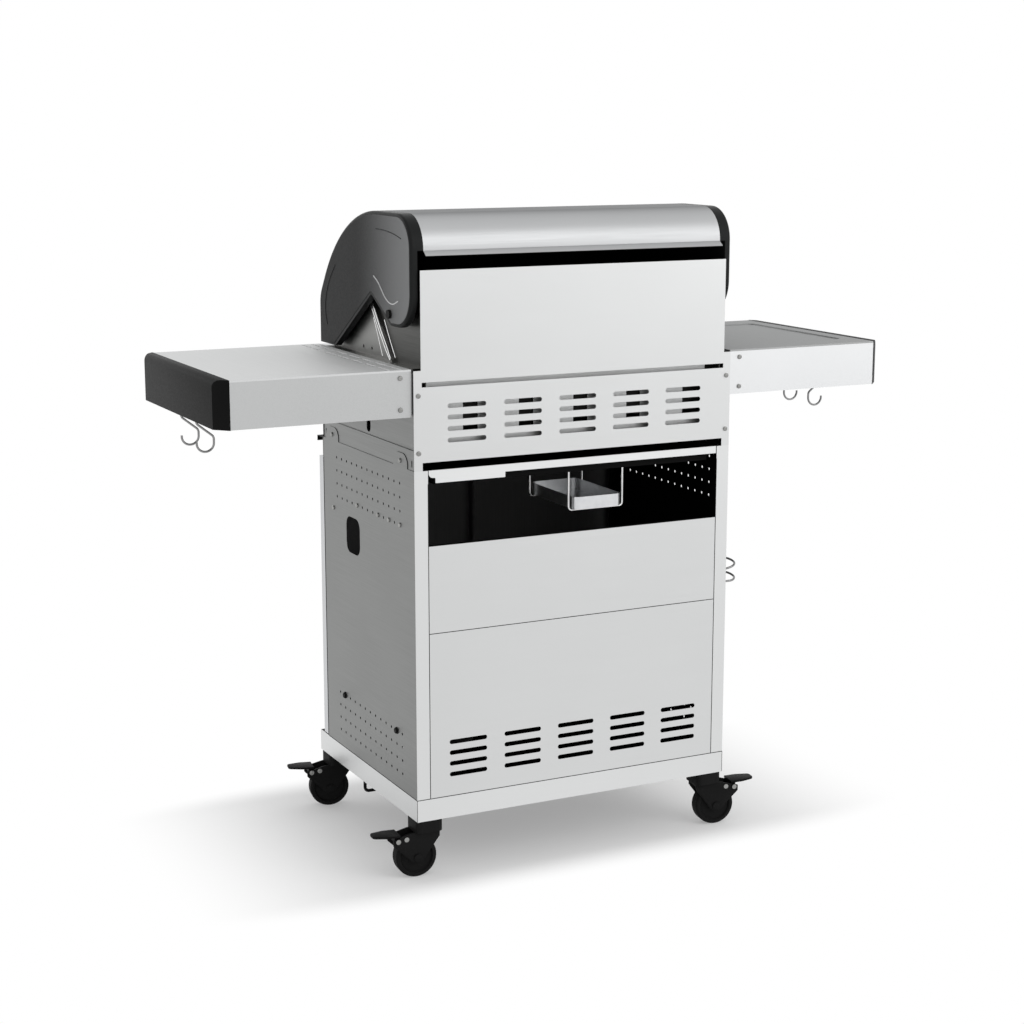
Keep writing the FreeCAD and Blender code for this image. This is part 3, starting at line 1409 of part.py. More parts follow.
def on_outer_run(edge):
    """Whether an edge of the lid end lies on its outer face, along the front, top or rear."""
    spot = edge.CenterOfMass
    outside = edge.BoundBox.XMin > float(HALF) - 0.01
    behind_front = spot.y > float(LID_FRONT + D.lid_notch_inset / 4)
    ahead_of_lobe = spot.y < float(LID_REAR - D.lid_lobe_bend / 2)
    notch = spot.z < float(LID_NOTCH_Z) and behind_front and ahead_of_lobe
    return outside and not notch


def lid_pivot_bolts():
    """A shouldered bolt through each lid end into the firebox side, with its nut inside."""
    inner = TUB_HALF - D.tub_wall
    nut_end = inner - D.pivot_head_height
    head_start = HALF + D.loose_fit
    head_end = head_start + D.pivot_head_height
    bolts = []
    for side in (-1, 1):
        ends = [
            Vector(side * float(x), float(PIVOT_Y), float(PIVOT_Z))
            for x in (nut_end, inner, head_start, head_end)
        ]
        shank = pin(D.pivot_radius, ends[0], ends[2])
        nut = pin(D.pivot_head, ends[0], ends[1])
        head = pin(D.pivot_head, ends[2], ends[3])
        bolts.append(joined([shank, nut, head]))
    return solid(Part.makeCompound(bolts))


def lid_handle():
    """Round bar across the lid's front on two footed posts."""
    radius = D.handle_radius
    pieces = [rod("x", radius, -D.handle_half, D.handle_half, HANDLE_Y, HANDLE_Z)]
    for side in (-1, 1):
        x = D.handle_post_x * side
        post = rod("y", D.handle_post_radius, HANDLE_Y, LID_FRONT, x, HANDLE_Z)
        foot_front = LID_FRONT - D.handle_foot_height
        foot = rod("y", D.handle_foot_radius, foot_front, LID_FRONT, x, HANDLE_Z)
        seat = rod("x", radius, x - radius * 2, x + radius * 2, HANDLE_Y, HANDLE_Z)
        pieces.append(cut(fuse(post, foot), seat))
    return group(*pieces)


def thermometer():
    """Round gauge on the lid's top bend, its back hollowed to the lid, with a stem through it."""
    seat, normal = gauge_seat()
    middle = top_bend()
    depth = normal * float(D.gauge_depth)
    case = pin(D.gauge_radius, seat - depth, seat + depth)
    span = Vector(float(D.gauge_radius) * 2, 0, 0)
    lid_round = pin(D.lid_top_bend + D.loose_fit, middle - span, middle + span)
    stem_end = seat - normal * float(D.gauge_stem_length)
    stem = pin(D.gauge_stem_radius, stem_end, seat + normal * float(D.gauge_stem_radius))
    return solid(joined([case.cut(lid_round), stem]))


# Corners of the path round one turn of the spiral, each rounded to an arc
SPIRAL_CORNERS = 8


def hose_spiral():
    """Wire spiral on the left cabinet side: half turns between two legs square to the panel."""
    middle = -HALF - D.spiral_radius - D.spiral_wire - D.spiral_gap
    radius = float(D.spiral_radius)
    top = float(CABINET_TOP - D.spiral_drop)
    count = int(D.spiral_half_turns) * SPIRAL_CORNERS // 2
    drop = float(D.spiral_pitch) / SPIRAL_CORNERS
    side = radius / math.cos(math.pi / SPIRAL_CORNERS)
    points = [Vector(-float(HALF), float(D.spiral_y) - radius, top)]
    for i in range(count):
        angle = -math.pi / 2 - (i + 0.5) * 2 * math.pi / SPIRAL_CORNERS
        points.append(Vector(
            float(middle) + side * math.cos(angle), float(D.spiral_y) + side * math.sin(angle),
            top - drop * i,
        ))
    points.append(Vector(-float(HALF), float(D.spiral_y) + radius, points[-1].z))
    wire = tube(points, [radius * 2 * ROUND_END] * len(points), D.spiral_wire)
    turn_gap = float(D.spiral_pitch) - 2 * float(D.spiral_wire)
    print(f"hose_spiral least gap to itself {least_gap(points):.1f} mm, turn gap {turn_gap:.1f} mm")
    return solid(wire)


def least_gap(points):
    """The least distance between wire surfaces half a turn or more apart, measured on points."""
    half_turn = SPIRAL_CORNERS // 2
    gaps = [
        (points[j] - points[i]).Length - 2 * float(D.spiral_wire)
        for i in range(len(points)) for j in range(i + half_turn, len(points))
    ]
    return min(gaps)


def screw(seat, direction):
    """Pan-head screw with its head on a face, the shank behind it."""
    radius = float(D.screw_head_radius)
    height = float(D.screw_head_height)
    head = Part.makeCylinder(radius, height)
    rim = [edge for edge in head.Edges if edge.BoundBox.ZMin > height - 0.01]
    head = head.makeFillet(float(D.screw_head_round), rim)
    shank = pin(D.screw_shank_radius, Vector(), Vector(0, 0, -float(D.screw_length)))
    piece = joined([head, shank])
    piece.Placement = Placement(seat, Rotation(Vector(0, 0, 1), direction))
    return piece


def panel_screws():
    """Screws of the cabinet sides, the vent panel and the shelves."""
    pieces = []
    for side, places in ((1, side_screw_places() + row_screw_places()), (-1, side_screw_places())):
        for y, z in places:
            pieces.append(screw(Vector(side * float(HALF), float(y), float(z)), Vector(side, 0, 0)))
        x = side * float(SHELF_INNER + D.shelf_screw_inset)
        for y, z in shelf_screw_places():
            facing = 1 if float(y) > 0 else -1
            pieces.append(screw(Vector(x, float(y), float(z)), Vector(0, facing, 0)))
    for x, z in vent_screw_places():
        pieces.append(screw(Vector(float(x), float(D.rear_face), float(z)), Vector(0, 1, 0)))
    return solid(Part.makeCompound(pieces))


CASTOR_X = HALF - D.castor_inset
CASTOR_REAR = D.rear_face - D.castor_rear_inset
CASTOR_FRONT = BASE_FRONT + D.castor_front_inset
CASTORS = {
    1: (CASTOR_X, CASTOR_REAR, D.heading_1),
    2: (CASTOR_X, CASTOR_FRONT, D.heading_2),
    3: (-CASTOR_X, CASTOR_REAR, D.heading_3),
    4: (-CASTOR_X, CASTOR_FRONT, D.heading_4),
}


def castor_plates():
    """Four mounting blocks with their king pins, below the base."""
    blocks = []
    half = D.castor_block / 2
    head_top = FORK_UNDER - D.loose_fit
    head_bottom = head_top - D.king_pin_head_height
    for x, y, _ in CASTORS.values():
        corners = rectangle(x - half, x + half, y - half, y + half, D.castor_block_corner)
        blocks.append(fuse(
            solid(plate("xy", BLOCK_BOTTOM, GROUND_GAP, corners)),
            rod("z", D.king_pin_radius, head_bottom, BLOCK_BOTTOM, x, y),
            rod("z", D.king_pin_head, head_bottom, head_top, x, y),
        ))
    return group(*blocks)


def on_castor(shape, number):
    """Moves a shape from beside the origin to a castor, turned to its resting heading."""
    x, y, heading = CASTORS[number]
    turn = Rotation(Vector(0, 0, 1), float(heading))
    shape.Placement = Placement(Vector(float(x), float(y), 0), turn)
    return solid(shape)


def castor_fork(number):
    """Fork with its axle bolt and the pedal pin. The wheel trails along local X."""
    trail = D.castor_trail
    axle_z = D.wheel_radius
    eye = D.axle_head_radius + D.gauge
    eye_round = eye * 2 * ROUND_END
    end = PEDAL_X + eye
    cheek = [
        (-D.fork_back, FORK_TOP), (-D.fork_back, FORK_UNDER - D.fork_top),
        (trail - eye, axle_z - eye, eye_round), (trail + eye, axle_z - eye, eye_round),
        (end, PEDAL_Z - eye, eye / 2), (end, PEDAL_Z + D.cheek_end_rise), (D.cheek_shoulder, FORK_TOP),
    ]
    inner = D.fork_half - D.fork_cheek
    fork = joined([
        bar(-D.fork_back, D.fork_back, -D.fork_half, D.fork_half, FORK_UNDER, FORK_TOP),
        plate("xz", inner, D.fork_half, cheek),
        plate("xz", -D.fork_half, -inner, cheek),
    ])
    low = Vector(0, 0, float(FORK_UNDER) - OVERCUT)
    fork = fork.cut(pin(D.king_pin_radius + D.running_fit, low, Vector(0, 0, float(FORK_TOP) + OVERCUT)))
    bolts = []
    for x, z, radius, head in (
        (trail, axle_z, D.axle_radius, D.axle_head_radius),
        (PEDAL_X, PEDAL_Z, D.pedal_pin_radius, D.pedal_pin_radius * 2),
    ):
        across = Vector(float(x), float(D.fork_half), float(z))
        back = Vector(float(x), -float(D.fork_half), float(z))
        out = Vector(0, float(D.axle_head_height), 0)
        shank = pin(radius, back - out, across + out)
        fork = fork.cut(shank)
        bolts.append(joined([shank, pin(head, back - out, back), pin(head, across, across + out)]))
    return on_castor(Part.makeCompound([fork, *bolts]), number)


def castor_wheel(number):
    """Wheel with rounded tread edges, dished sides and a hub that fills the fork."""
    half = D.wheel_width / 2
    hub = D.fork_half - D.fork_cheek - D.loose_fit
    bore = D.axle_radius + D.running_fit
    dish = half - D.wheel_dish
    dish_radius = D.wheel_radius - D.wheel_dish_edge
    shoulder = D.wheel_radius - D.wheel_shoulder
    section = [
        (bore, -hub), (D.wheel_hub_radius, -hub), (D.wheel_hub_radius, -dish), (dish_radius, -dish),
        (shoulder, -half), (D.wheel_radius, -half, D.wheel_edge), (D.wheel_radius, half, D.wheel_edge),
        (shoulder, half), (dish_radius, dish), (D.wheel_hub_radius, dish), (D.wheel_hub_radius, hub),
        (bore, hub),
    ]
    face = Part.Face(outline("xy", 0, section))
    wheel = face.revolve(Vector(), Vector(0, 1, 0), 360)
    wheel.translate(Vector(float(D.castor_trail), 0, float(D.wheel_radius)))
    return on_castor(Part.makeCompound([wheel]), number)


def brake_pedal(number):
    """Tapered foot plate over the fork's end, with a boss between the cheeks on the pedal pin."""
    boss = D.pedal_boss
    root = D.fork_half - D.fork_cheek - D.loose_fit
    back = PEDAL_X - boss
    tip = PEDAL_X + D.pedal_length
    low = PEDAL_Z + boss + D.pedal_rise
    high = low + D.pedal_plate
    side = [(back, low), (tip, low + D.pedal_slope), (tip, high + D.pedal_slope), (back, high)]
    shoulder = PEDAL_X + D.pedal_shoulder
    corner = D.pedal_corner
    plan = [
        (back, -D.pedal_half), (shoulder, -D.pedal_half, corner), (tip, -D.pedal_tip_half, corner),
        (tip, D.pedal_tip_half, corner), (shoulder, D.pedal_half, corner), (back, D.pedal_half),
    ]
    foot = plate("xz", -D.pedal_half, D.pedal_half, side)
    foot = foot.common(plate("xy", low, high + D.pedal_slope, plan))
    boss_round = boss * 2 * ROUND_END
    eye = plate("xz", -root, root, [
        (back, PEDAL_Z - boss, boss_round), (PEDAL_X + boss, PEDAL_Z - boss, boss_round),
        (PEDAL_X + boss, low + D.pedal_plate / 2), (back, low + D.pedal_plate / 2),
    ])
    start = Vector(float(PEDAL_X), -float(D.fork_half), float(PEDAL_Z))
    bore = pin(D.pedal_pin_radius + D.running_fit, start, start + Vector(0, float(D.fork_half) * 2, 0))
    return on_castor(joined([foot, eye]).cut(bore), number)


right_side = side_panel(side_screw_places(), True)
left_side = side_panel(side_screw_places(), False)
right_housing = housing_side()
right_cap = shelf_cap()
right_door = door()
right_lid_cap = lid_cap()

PIECES = {
    "base_panel": base_panel(),
    "cylinder_cradle": cylinder_cradle(),
    "side_panel_right": right_side,
    "side_panel_left": mirror(left_side),
    "rear_panel_lower": rear_panel_lower(),
    "rear_panel_upper": rear_panel_upper(),
    "front_beam": front_beam(),
    "door_right": right_door,
    "door_left": mirror(right_door),
    "door_hinge_pins": door_hinge_pins(),
    "housing_side_right": right_housing,
    "housing_side_left": mirror(right_housing),
    "vent_panel": vent_panel(),
    "firebox_rear_panel": firebox_rear_panel(),
    "firebox_tub": firebox_tub(),
    "burners": burners(),
    "flame_tamers": flame_tamers(),
    "cooking_grates": cooking_grates(),
    "warming_rack": warming_rack(),
    "control_panel": control_panel(),
    "gas_manifold": gas_manifold(),
    "igniter_button": igniter_button(),
    "grease_tray": grease_tray(),
    "cup_holder": cup_holder(),
    "drip_cup": drip_cup(),
    "shelf_right": shelf_right(),
    "shelf_left": shelf_left(),
    "shelf_cap_right": right_cap,
    "shelf_cap_left": mirror(right_cap),
    "hook_1": hook(1, D.hook_first),
    "hook_2": hook(1, D.hook_second),
    "hook_3": hook(-1, D.hook_first),
    "hook_4": hook(-1, D.hook_second),
    "lid_skin": lid_skin(),
    "lid_cap_right": right_lid_cap,
    "lid_cap_left": mirror(right_lid_cap),
    "lid_pivot_bolts": lid_pivot_bolts(),
    "lid_handle": lid_handle(),
    "thermometer": thermometer(),
    "hose_spiral": hose_spiral(),
    "panel_screws": panel_screws(),
    "castor_plates": castor_plates(),
}
for number, x in KNOBS.items():
    PIECES[f"valve_stem_{number}"] = valve_stem(x)
    PIECES[f"knob_{number}"] = knob(x)
for number in CASTORS:
    PIECES[f"castor_fork_{number}"] = castor_fork(number)
    PIECES[f"castor_wheel_{number}"] = castor_wheel(number)
    PIECES[f"brake_pedal_{number}"] = brake_pedal(number)

doc.recompute()

for name, piece in PIECES.items():
    piece.Label = name

for item in doc.Objects:
    if "Invalid" in item.State or "Error" in item.State:
        raise RuntimeError(f"{item.Label} did not compute: {item.State}")
for name, piece in PIECES.items():
    if piece.Shape.isNull() or not piece.Shape.isValid() or not piece.Shape.Solids:
        raise RuntimeError(f"{name} has no valid solid")

os.makedirs("parts", exist_ok=True)
for name, piece in PIECES.items():
    piece.Shape.exportStep(os.path.join("parts", f"{name}.step"))
print(f"wrote {len(PIECES)} pieces")
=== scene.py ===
import math

import bpy
from mathutils import Matrix, Vector


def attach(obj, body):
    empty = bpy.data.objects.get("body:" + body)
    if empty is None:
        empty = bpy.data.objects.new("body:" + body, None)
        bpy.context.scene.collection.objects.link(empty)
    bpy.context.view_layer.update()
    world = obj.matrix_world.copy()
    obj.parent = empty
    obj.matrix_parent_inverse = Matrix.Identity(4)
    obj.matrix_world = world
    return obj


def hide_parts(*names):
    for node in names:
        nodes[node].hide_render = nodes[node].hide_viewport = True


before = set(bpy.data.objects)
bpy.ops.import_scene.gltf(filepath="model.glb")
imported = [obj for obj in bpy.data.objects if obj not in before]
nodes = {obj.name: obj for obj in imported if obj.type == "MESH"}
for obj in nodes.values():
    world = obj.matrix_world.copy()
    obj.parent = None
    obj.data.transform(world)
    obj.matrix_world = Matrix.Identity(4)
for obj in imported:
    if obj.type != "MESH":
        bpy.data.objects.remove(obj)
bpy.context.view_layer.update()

MM = 0.001

# How strongly a sheet's hairlines are raised.
BRUSHED, SMOOTH = 0.06, 0.02


def colour(text):
    """A linear colour from an sRGB hex value."""
    parts = [int(text[i:i + 2], 16) / 255 for i in (1, 3, 5)]
    linear = [p / 12.92 if p <= 0.04045 else ((p + 0.055) / 1.055) ** 2.4 for p in parts]
    return (*linear, 1.0)


def add(tree, kind, links=None, **settings):
    """Adds a node with its settings, and its sockets set or linked."""
    made = tree.nodes.new(kind)
    for name, value in settings.items():
        setattr(made, name, value)
    for name, value in (links or {}).items():
        if isinstance(value, bpy.types.NodeSocket):
            tree.links.new(value, made.inputs[name])
        else:
            made.inputs[name].default_value = value
    return made


def blank(name):
    """An empty material, its node tree and the coordinates of the piece's own place."""
    material = bpy.data.materials.new(name)
    material.use_nodes = True
    tree = material.node_tree
    tree.nodes.clear()
    place = add(tree, "ShaderNodeTexCoord").outputs["Object"]
    return material, tree, place


def finish_material(tree, links):
    """Ends a material with its surface shader."""
    shader = add(tree, "ShaderNodeBsdfPrincipled", links)
    add(tree, "ShaderNodeOutputMaterial", {"Surface": shader.outputs["BSDF"]})


def brushed_sheet(name, tint, shade, grain, rough, relief=BRUSHED, patches=(), edge=1.0):
    """Stainless sheet, belt-brushed: short bright hairlines along one direction under a soft sheen.

    The hairlines are about 0.3 mm wide on the real sheet; here they are 2 mm, so that they show.
    Each patch has the limits of faces with another tint, and how much duller they are; most patches are
    painted shade on faces seen from within, and paler and darker copies of the sheet painted as light and
    shade.
    The edge value dulls the sheet's reflection where it is seen at a flat angle, a painted shade.
    """
    material, tree, place = blank(name)
    line_width, line_length, cloud_size, line_depth = 2.0 * MM, 140.0 * MM, 180.0 * MM, 0.3 * MM
    stretch = [1 / line_width] * 3
    stretch["xyz".index(grain)] = 1 / line_length
    hairs = add(tree, "ShaderNodeTexNoise", {
        "Vector": add(tree, "ShaderNodeMapping", {"Vector": place, "Scale": stretch}).outputs["Vector"],
        "Scale": 1.0, "Detail": 3.0, "Roughness": 0.6,
    }).outputs["Fac"]
    cloud = add(tree, "ShaderNodeTexNoise", {
        "Vector": place, "Scale": 1 / cloud_size, "Detail": 2.0,
    }).outputs["Fac"]
    both = add(tree, "ShaderNodeMath", {0: hairs, 1: cloud}, operation="MULTIPLY").outputs[0]
    steel = add(tree, "ShaderNodeMixRGB", {
        "Fac": both, "Color1": colour(shade), "Color2": colour(tint),
    }).outputs["Color"]
    sheen = add(tree, "ShaderNodeMapRange", {
        "Value": hairs, "From Min": 0.3, "From Max": 0.7, "To Min": rough - 0.05, "To Max": rough + 0.07,
    }).outputs["Result"]
    bump = add(tree, "ShaderNodeBump", {
        "Height": hairs, "Strength": relief, "Distance": line_depth,
    }).outputs["Normal"]
    apart = add(tree, "ShaderNodeSeparateXYZ", {"Vector": place}).outputs
    for limits, patch_tint, duller in patches:
        within = 1.0
        for axis, low, high in limits:
            after = add(tree, "ShaderNodeMath", {0: apart[axis], 1: low}, operation="GREATER_THAN").outputs[0]
            before = add(tree, "ShaderNodeMath", {0: apart[axis], 1: high}, operation="LESS_THAN").outputs[0]
            between = add(tree, "ShaderNodeMath", {0: after, 1: before}, operation="MULTIPLY").outputs[0]
            within = add(tree, "ShaderNodeMath", {0: within, 1: between}, operation="MULTIPLY").outputs[0]
        steel = add(tree, "ShaderNodeMixRGB", {
            "Fac": within, "Color1": steel, "Color2": colour(patch_tint),
        }).outputs["Color"]
        sheen = add(tree, "ShaderNodeMath", {0: within, 1: duller, 2: sheen},
                    operation="MULTIPLY_ADD").outputs[0]
    finish_material(tree, {
        "Base Color": steel, "Metallic": 1.0, "Roughness": sheen, "Normal": bump,
        "Specular Tint": (edge, edge, edge, 1.0),
    })
    return material


def satin_coat(name, tint, shade, rough, peel=3.0, depth=0.2, fade=None):
    """Baked coat on metal or moulded plastic: a faint orange peel that breaks up the highlights.

    The tint drifts in soft clouds, or along an axis between two places where a fade is given; that fade is
    painted light and shade.
    The peel's width and depth are in millimetres, both coarser than real so that they show.
    """
    material, tree, place = blank(name)
    cloud_size, dull_gloss = 90.0 * MM, 0.07
    fine = add(tree, "ShaderNodeTexNoise", {
        "Vector": place, "Scale": 1 / (peel * MM), "Detail": 2.0,
    }).outputs["Fac"]
    cloud = add(tree, "ShaderNodeTexNoise", {
        "Vector": place, "Scale": 1 / cloud_size, "Detail": 3.0,
    }).outputs["Fac"]
    if fade:
        axis, low, high = fade
        along = add(tree, "ShaderNodeSeparateXYZ", {"Vector": place}).outputs[axis]
        cloud = add(tree, "ShaderNodeMapRange", {"Value": along, "From Min": low, "From Max": high},
                    interpolation_type="SMOOTHSTEP").outputs["Result"]
    paint = add(tree, "ShaderNodeMixRGB", {
        "Fac": cloud, "Color1": colour(shade), "Color2": colour(tint),
    }).outputs["Color"]
    gloss = add(tree, "ShaderNodeMapRange", {
        "Value": fine, "From Min": 0.3, "From Max": 0.7, "To Min": rough - 0.04, "To Max": rough + 0.06,
    }).outputs["Result"]
    bump = add(tree, "ShaderNodeBump", {
        "Height": fine, "Strength": 0.25, "Distance": depth * MM,
    }).outputs["Normal"]
    finish_material(tree, {
        "Base Color": paint, "Roughness": gloss, "Normal": bump, "Specular IOR Level": dull_gloss,
    })
    return material


def plated(name, tint, shade, rough):
    """Bright plating over drawn wire or turned steel: smooth, with a slight cloudiness."""
    material, tree, place = blank(name)
    cloud_size = 12.0 * MM
    cloud = add(tree, "ShaderNodeTexNoise", {
        "Vector": place, "Scale": 1 / cloud_size, "Detail": 3.0,
    }).outputs["Fac"]
    metal = add(tree, "ShaderNodeMixRGB", {
        "Fac": cloud, "Color1": colour(shade), "Color2": colour(tint),
    }).outputs["Color"]
    gloss = add(tree, "ShaderNodeMapRange", {
        "Value": cloud, "To Min": rough - 0.04, "To Max": rough + 0.05,
    }).outputs["Result"]
    finish_material(tree, {"Base Color": metal, "Metallic": 1.0, "Roughness": gloss})
    return material


def cast_iron(name):
    """Enamelled casting: a near-black coat over a sandy, uneven surface."""
    material, tree, place = blank(name)
    grain_size, grain_depth = 2.2 * MM, 0.4 * MM
    sand = add(tree, "ShaderNodeTexNoise", {
        "Vector": place, "Scale": 1 / grain_size, "Detail": 5.0,
    }).outputs["Fac"]
    coat = add(tree, "ShaderNodeMixRGB", {
        "Fac": sand, "Color1": colour("#121212"), "Color2": colour("#2a2826"),
    }).outputs["Color"]
    gloss = add(tree, "ShaderNodeMapRange", {"Value": sand, "To Min": 0.42, "To Max": 0.7}).outputs["Result"]
    bump = add(tree, "ShaderNodeBump", {
        "Height": sand, "Strength": 0.5, "Distance": grain_depth,
    }).outputs["Normal"]
    finish_material(tree, {"Base Color": coat, "Roughness": gloss, "Normal": bump})
    return material


def heat_tinted(name):
    """Stainless tube blued by heat: straw and blue bands drift along its length."""
    material, tree, place = blank(name)
    drift_size, bands_per_metre = 45.0 * MM, 6.0
    along = add(tree, "ShaderNodeSeparateXYZ", {"Vector": place}).outputs["Y"]
    drift = add(tree, "ShaderNodeTexNoise", {
        "Vector": place, "Scale": 1 / drift_size, "Detail": 3.0,
    }).outputs["Fac"]
    band = add(tree, "ShaderNodeMath", {0: along, 1: bands_per_metre, 2: drift},
               operation="MULTIPLY_ADD").outputs[0]
    wave = add(tree, "ShaderNodeMath", {0: band}, operation="FRACT").outputs[0]
    tint = add(tree, "ShaderNodeMixRGB", {
        "Fac": wave, "Color1": colour("#8c7a5e"), "Color2": colour("#6d7076"),
    }).outputs["Color"]
    finish_material(tree, {"Base Color": tint, "Metallic": 1.0, "Roughness": 0.38})
    return material


# Each pair is the sheet's tint and its shade between the hairlines.
STEEL = ("#d6d7d8", "#c5c6c8")
PALE_STEEL = ("#d8d9d9", "#d0d1d1")
# The two shelves are one sheet in two tints: darker for the near shelf, a painted shade, and paler for the
# far one, a painted light.
NEAR_SHELF_STEEL_SHADED = ("#c8c9c9", "#c0c1c1")
FAR_SHELF_STEEL_LIT = ("#e2e3e4", "#d9dadb")
# A darker copy of the stainless for the grill's sides and housing sides: painted shade where they turn from
# the light.
SIDE_STEEL_SHADED = ("#919291", "#808180")
BASE_STEEL = ("#dfe0e0", "#d8d9d9")
# The lid's darker tint is painted shade.
LID_STEEL_SHADED = ("#c2c3c4", "#b6b7b8")
TUB_STEEL = ("#a0a09e", "#828280")
# In order: near black painted shade on faces that look into the cabinet, the base and the tray's pan; soot
# inside the firebox; dark grey painted shade on the firebox wall's outer faces; grey painted shade on the
# doors' backs.
PAINTED_SHADE_BLACK, SOOTED, TUB_WALL_PAINTED_SHADE, DOOR_BACK_PAINTED_SHADE = "#161616", "#2b2a29", "#4a4a48", "#5a5a5a"
# The near shelf's top is paler, a painted light; the far shelf's top is darker, a painted shade.
NEAR_SHELF_TOP_LIT, FAR_SHELF_TOP_SHADED = "#d4d5d5", "#b0b1b1"
DULLER, AS_BRIGHT = 0.25, 0.0

# Places on the grill that part the faces of one sheet, in metres.
FAR_OFF = 1.0
SKIN = 0.6 * MM
half_width, rear_face, door_front, base_front = 310 * MM, 250.5 * MM, -191 * MM, -210.5 * MM
tub_inside, tub_face, lip_front = 286.8 * MM, 288.3 * MM, 247.0 * MM
BETWEEN_SIDES = ("X", -half_width + SKIN, half_width - SKIN)
BEHIND_REAR = ("Y", -FAR_OFF, rear_face - SKIN)
REAR_FACES = ("Y", rear_face - SKIN, FAR_OFF)
BETWEEN_BASE_WALLS = ("Y", base_front + SKIN, rear_face - SKIN)
BEHIND_DOOR_FRONT = ("Y", door_front + SKIN, FAR_OFF)
DOOR_HEIGHTS = ("Z", 147.8 * MM, 682.2 * MM)
SHELF_TOP = ("Z", 891.5 * MM, FAR_OFF)

# Belt-brushed stainless: the hairlines draw the highlight out across the sheet.
panel_steel = brushed_sheet("brushed_stainless_front", *STEEL, "x", 0.36)
# The sides and housing sides are tinted darker than the other stainless, a painted shade; the side panels'
# rear faces keep the pale tint, and their faces within are near black painted shade.
housing_sheet_painted_shade = brushed_sheet("brushed_stainless_housing_painted_shade", *SIDE_STEEL_SHADED, "y", 0.38)
side_sheet_painted_shade = brushed_sheet(
    "brushed_stainless_sides_painted_shade", *SIDE_STEEL_SHADED, "y", 0.38, BRUSHED,
    [([BETWEEN_SIDES, BEHIND_REAR], PAINTED_SHADE_BLACK, DULLER), ([REAR_FACES], PALE_STEEL[0], AS_BRIGHT)],
)
# The doors' backs are a grey painted shade.
door_steel = {
    name: brushed_sheet(
        f"brushed_stainless_{name}", *STEEL, "z", 0.36, BRUSHED,
        [([BEHIND_DOOR_FRONT, ("X", low, high), DOOR_HEIGHTS], DOOR_BACK_PAINTED_SHADE, DULLER)],
    )
    for name, low, high in (("door_right", SKIN, half_width - SKIN),
                            ("door_left", SKIN - half_width, -SKIN))
}
# Finely brushed stainless: pale and even, with a soft sheen in place of clear hairlines.
# Painted light and shade on the shelves: the near shelf is darker with a paler top, the far shelf paler with
# a darker top, and the far shelf's reflection is also dulled at a flat angle.
near_shelf_painted_light = brushed_sheet(
    "brushed_stainless_near_shelf_painted_light", *NEAR_SHELF_STEEL_SHADED, "y", 0.62, SMOOTH, [([SHELF_TOP], NEAR_SHELF_TOP_LIT, AS_BRIGHT)],
)
far_shelf_painted_light = brushed_sheet(
    "brushed_stainless_far_shelf_painted_light", *FAR_SHELF_STEEL_LIT, "y", 0.38, SMOOTH,
    [([SHELF_TOP], FAR_SHELF_TOP_SHADED, DULLER)], edge=0.45,
)
# Faces behind the rear panels' outer faces are near black painted shade.
rear_steel = brushed_sheet(
    "smooth_stainless_rear", *PALE_STEEL, "x", 0.4, SMOOTH, [([BEHIND_REAR], PAINTED_SHADE_BLACK, DULLER)],
)
# Faces within the base's walls are near black painted shade.
base_steel = brushed_sheet(
    "smooth_stainless_base", *BASE_STEEL, "x", 0.4, SMOOTH,
    [([BETWEEN_SIDES, BETWEEN_BASE_WALLS], PAINTED_SHADE_BLACK, DULLER)],
)
# Satin stainless, tinted darker than the other sheets and darker still at a flat angle, so that the lid's top
# reads grey: painted shade.
lid_sheet_painted_shade = brushed_sheet("satin_stainless_lid_painted_shade", *LID_STEEL_SHADED, "x", 0.4, SMOOTH, edge=0.25)
# Firebox steel: grey outside, sooted dark within; the wall's outer faces are darker, a painted shade.
tub_steel = brushed_sheet(
    "dark_firebox_steel", *TUB_STEEL, "y", 0.34, BRUSHED,
    [
        ([("X", -tub_inside, tub_inside)], SOOTED, DULLER),
        ([("X", tub_inside, tub_face)], TUB_WALL_PAINTED_SHADE, AS_BRIGHT),
        ([("X", -tub_face, -tub_inside)], TUB_WALL_PAINTED_SHADE, AS_BRIGHT),
    ],
)
# Galvanised plate: dull, and pale as painted light where it sits in shade behind the vent slots.
shield_painted_light = brushed_sheet("galvanised_shield_painted_light", "#f0f1f1", "#e2e3e3", "x", 0.5)
# Coated tray sheet: a bright lip at the rear, and near black painted shade on the pan in front of it.
tray_steel = brushed_sheet(
    "bright_tray_sheet", "#e6e7e7", "#dcdddd", "x", 0.42, SMOOTH,
    [([("Y", -FAR_OFF, lip_front)], PAINTED_SHADE_BLACK, DULLER)],
)
# Baked enamel on the lid's ends: charcoal that pales towards the rear, a painted light; one crease painted
# pale as a highlight and two painted dark as shade;
# near black on the rims.
charcoal_enamel_painted_light = satin_coat("charcoal_enamel_painted_light", "#8b8c8d", "#0b0c0d", 0.36, fade=("Y", 0.0, 250 * MM))
crease_painted_highlight = satin_coat("crease_painted_highlight_enamel", "#f0f1f1", "#dcdddd", 0.3)
rim_and_crease_shade_enamel = satin_coat("dark_rim_and_painted_crease_shade", "#2a2b2b", "#1e1f1f", 0.34)
# Powder coat, moulded plastic and rubber: blacks that differ in gloss.
black_powder = satin_coat("black_powder_coat", "#1f1f1f", "#141414", 0.5, 2.0)
black_plastic = satin_coat("black_moulded_plastic", "#151515", "#0c0c0c", 0.48, 2.0, 0.4)
wheel_rubber = satin_coat("wheel_rubber", "#202020", "#161616", 0.62, 2.5, 0.4)
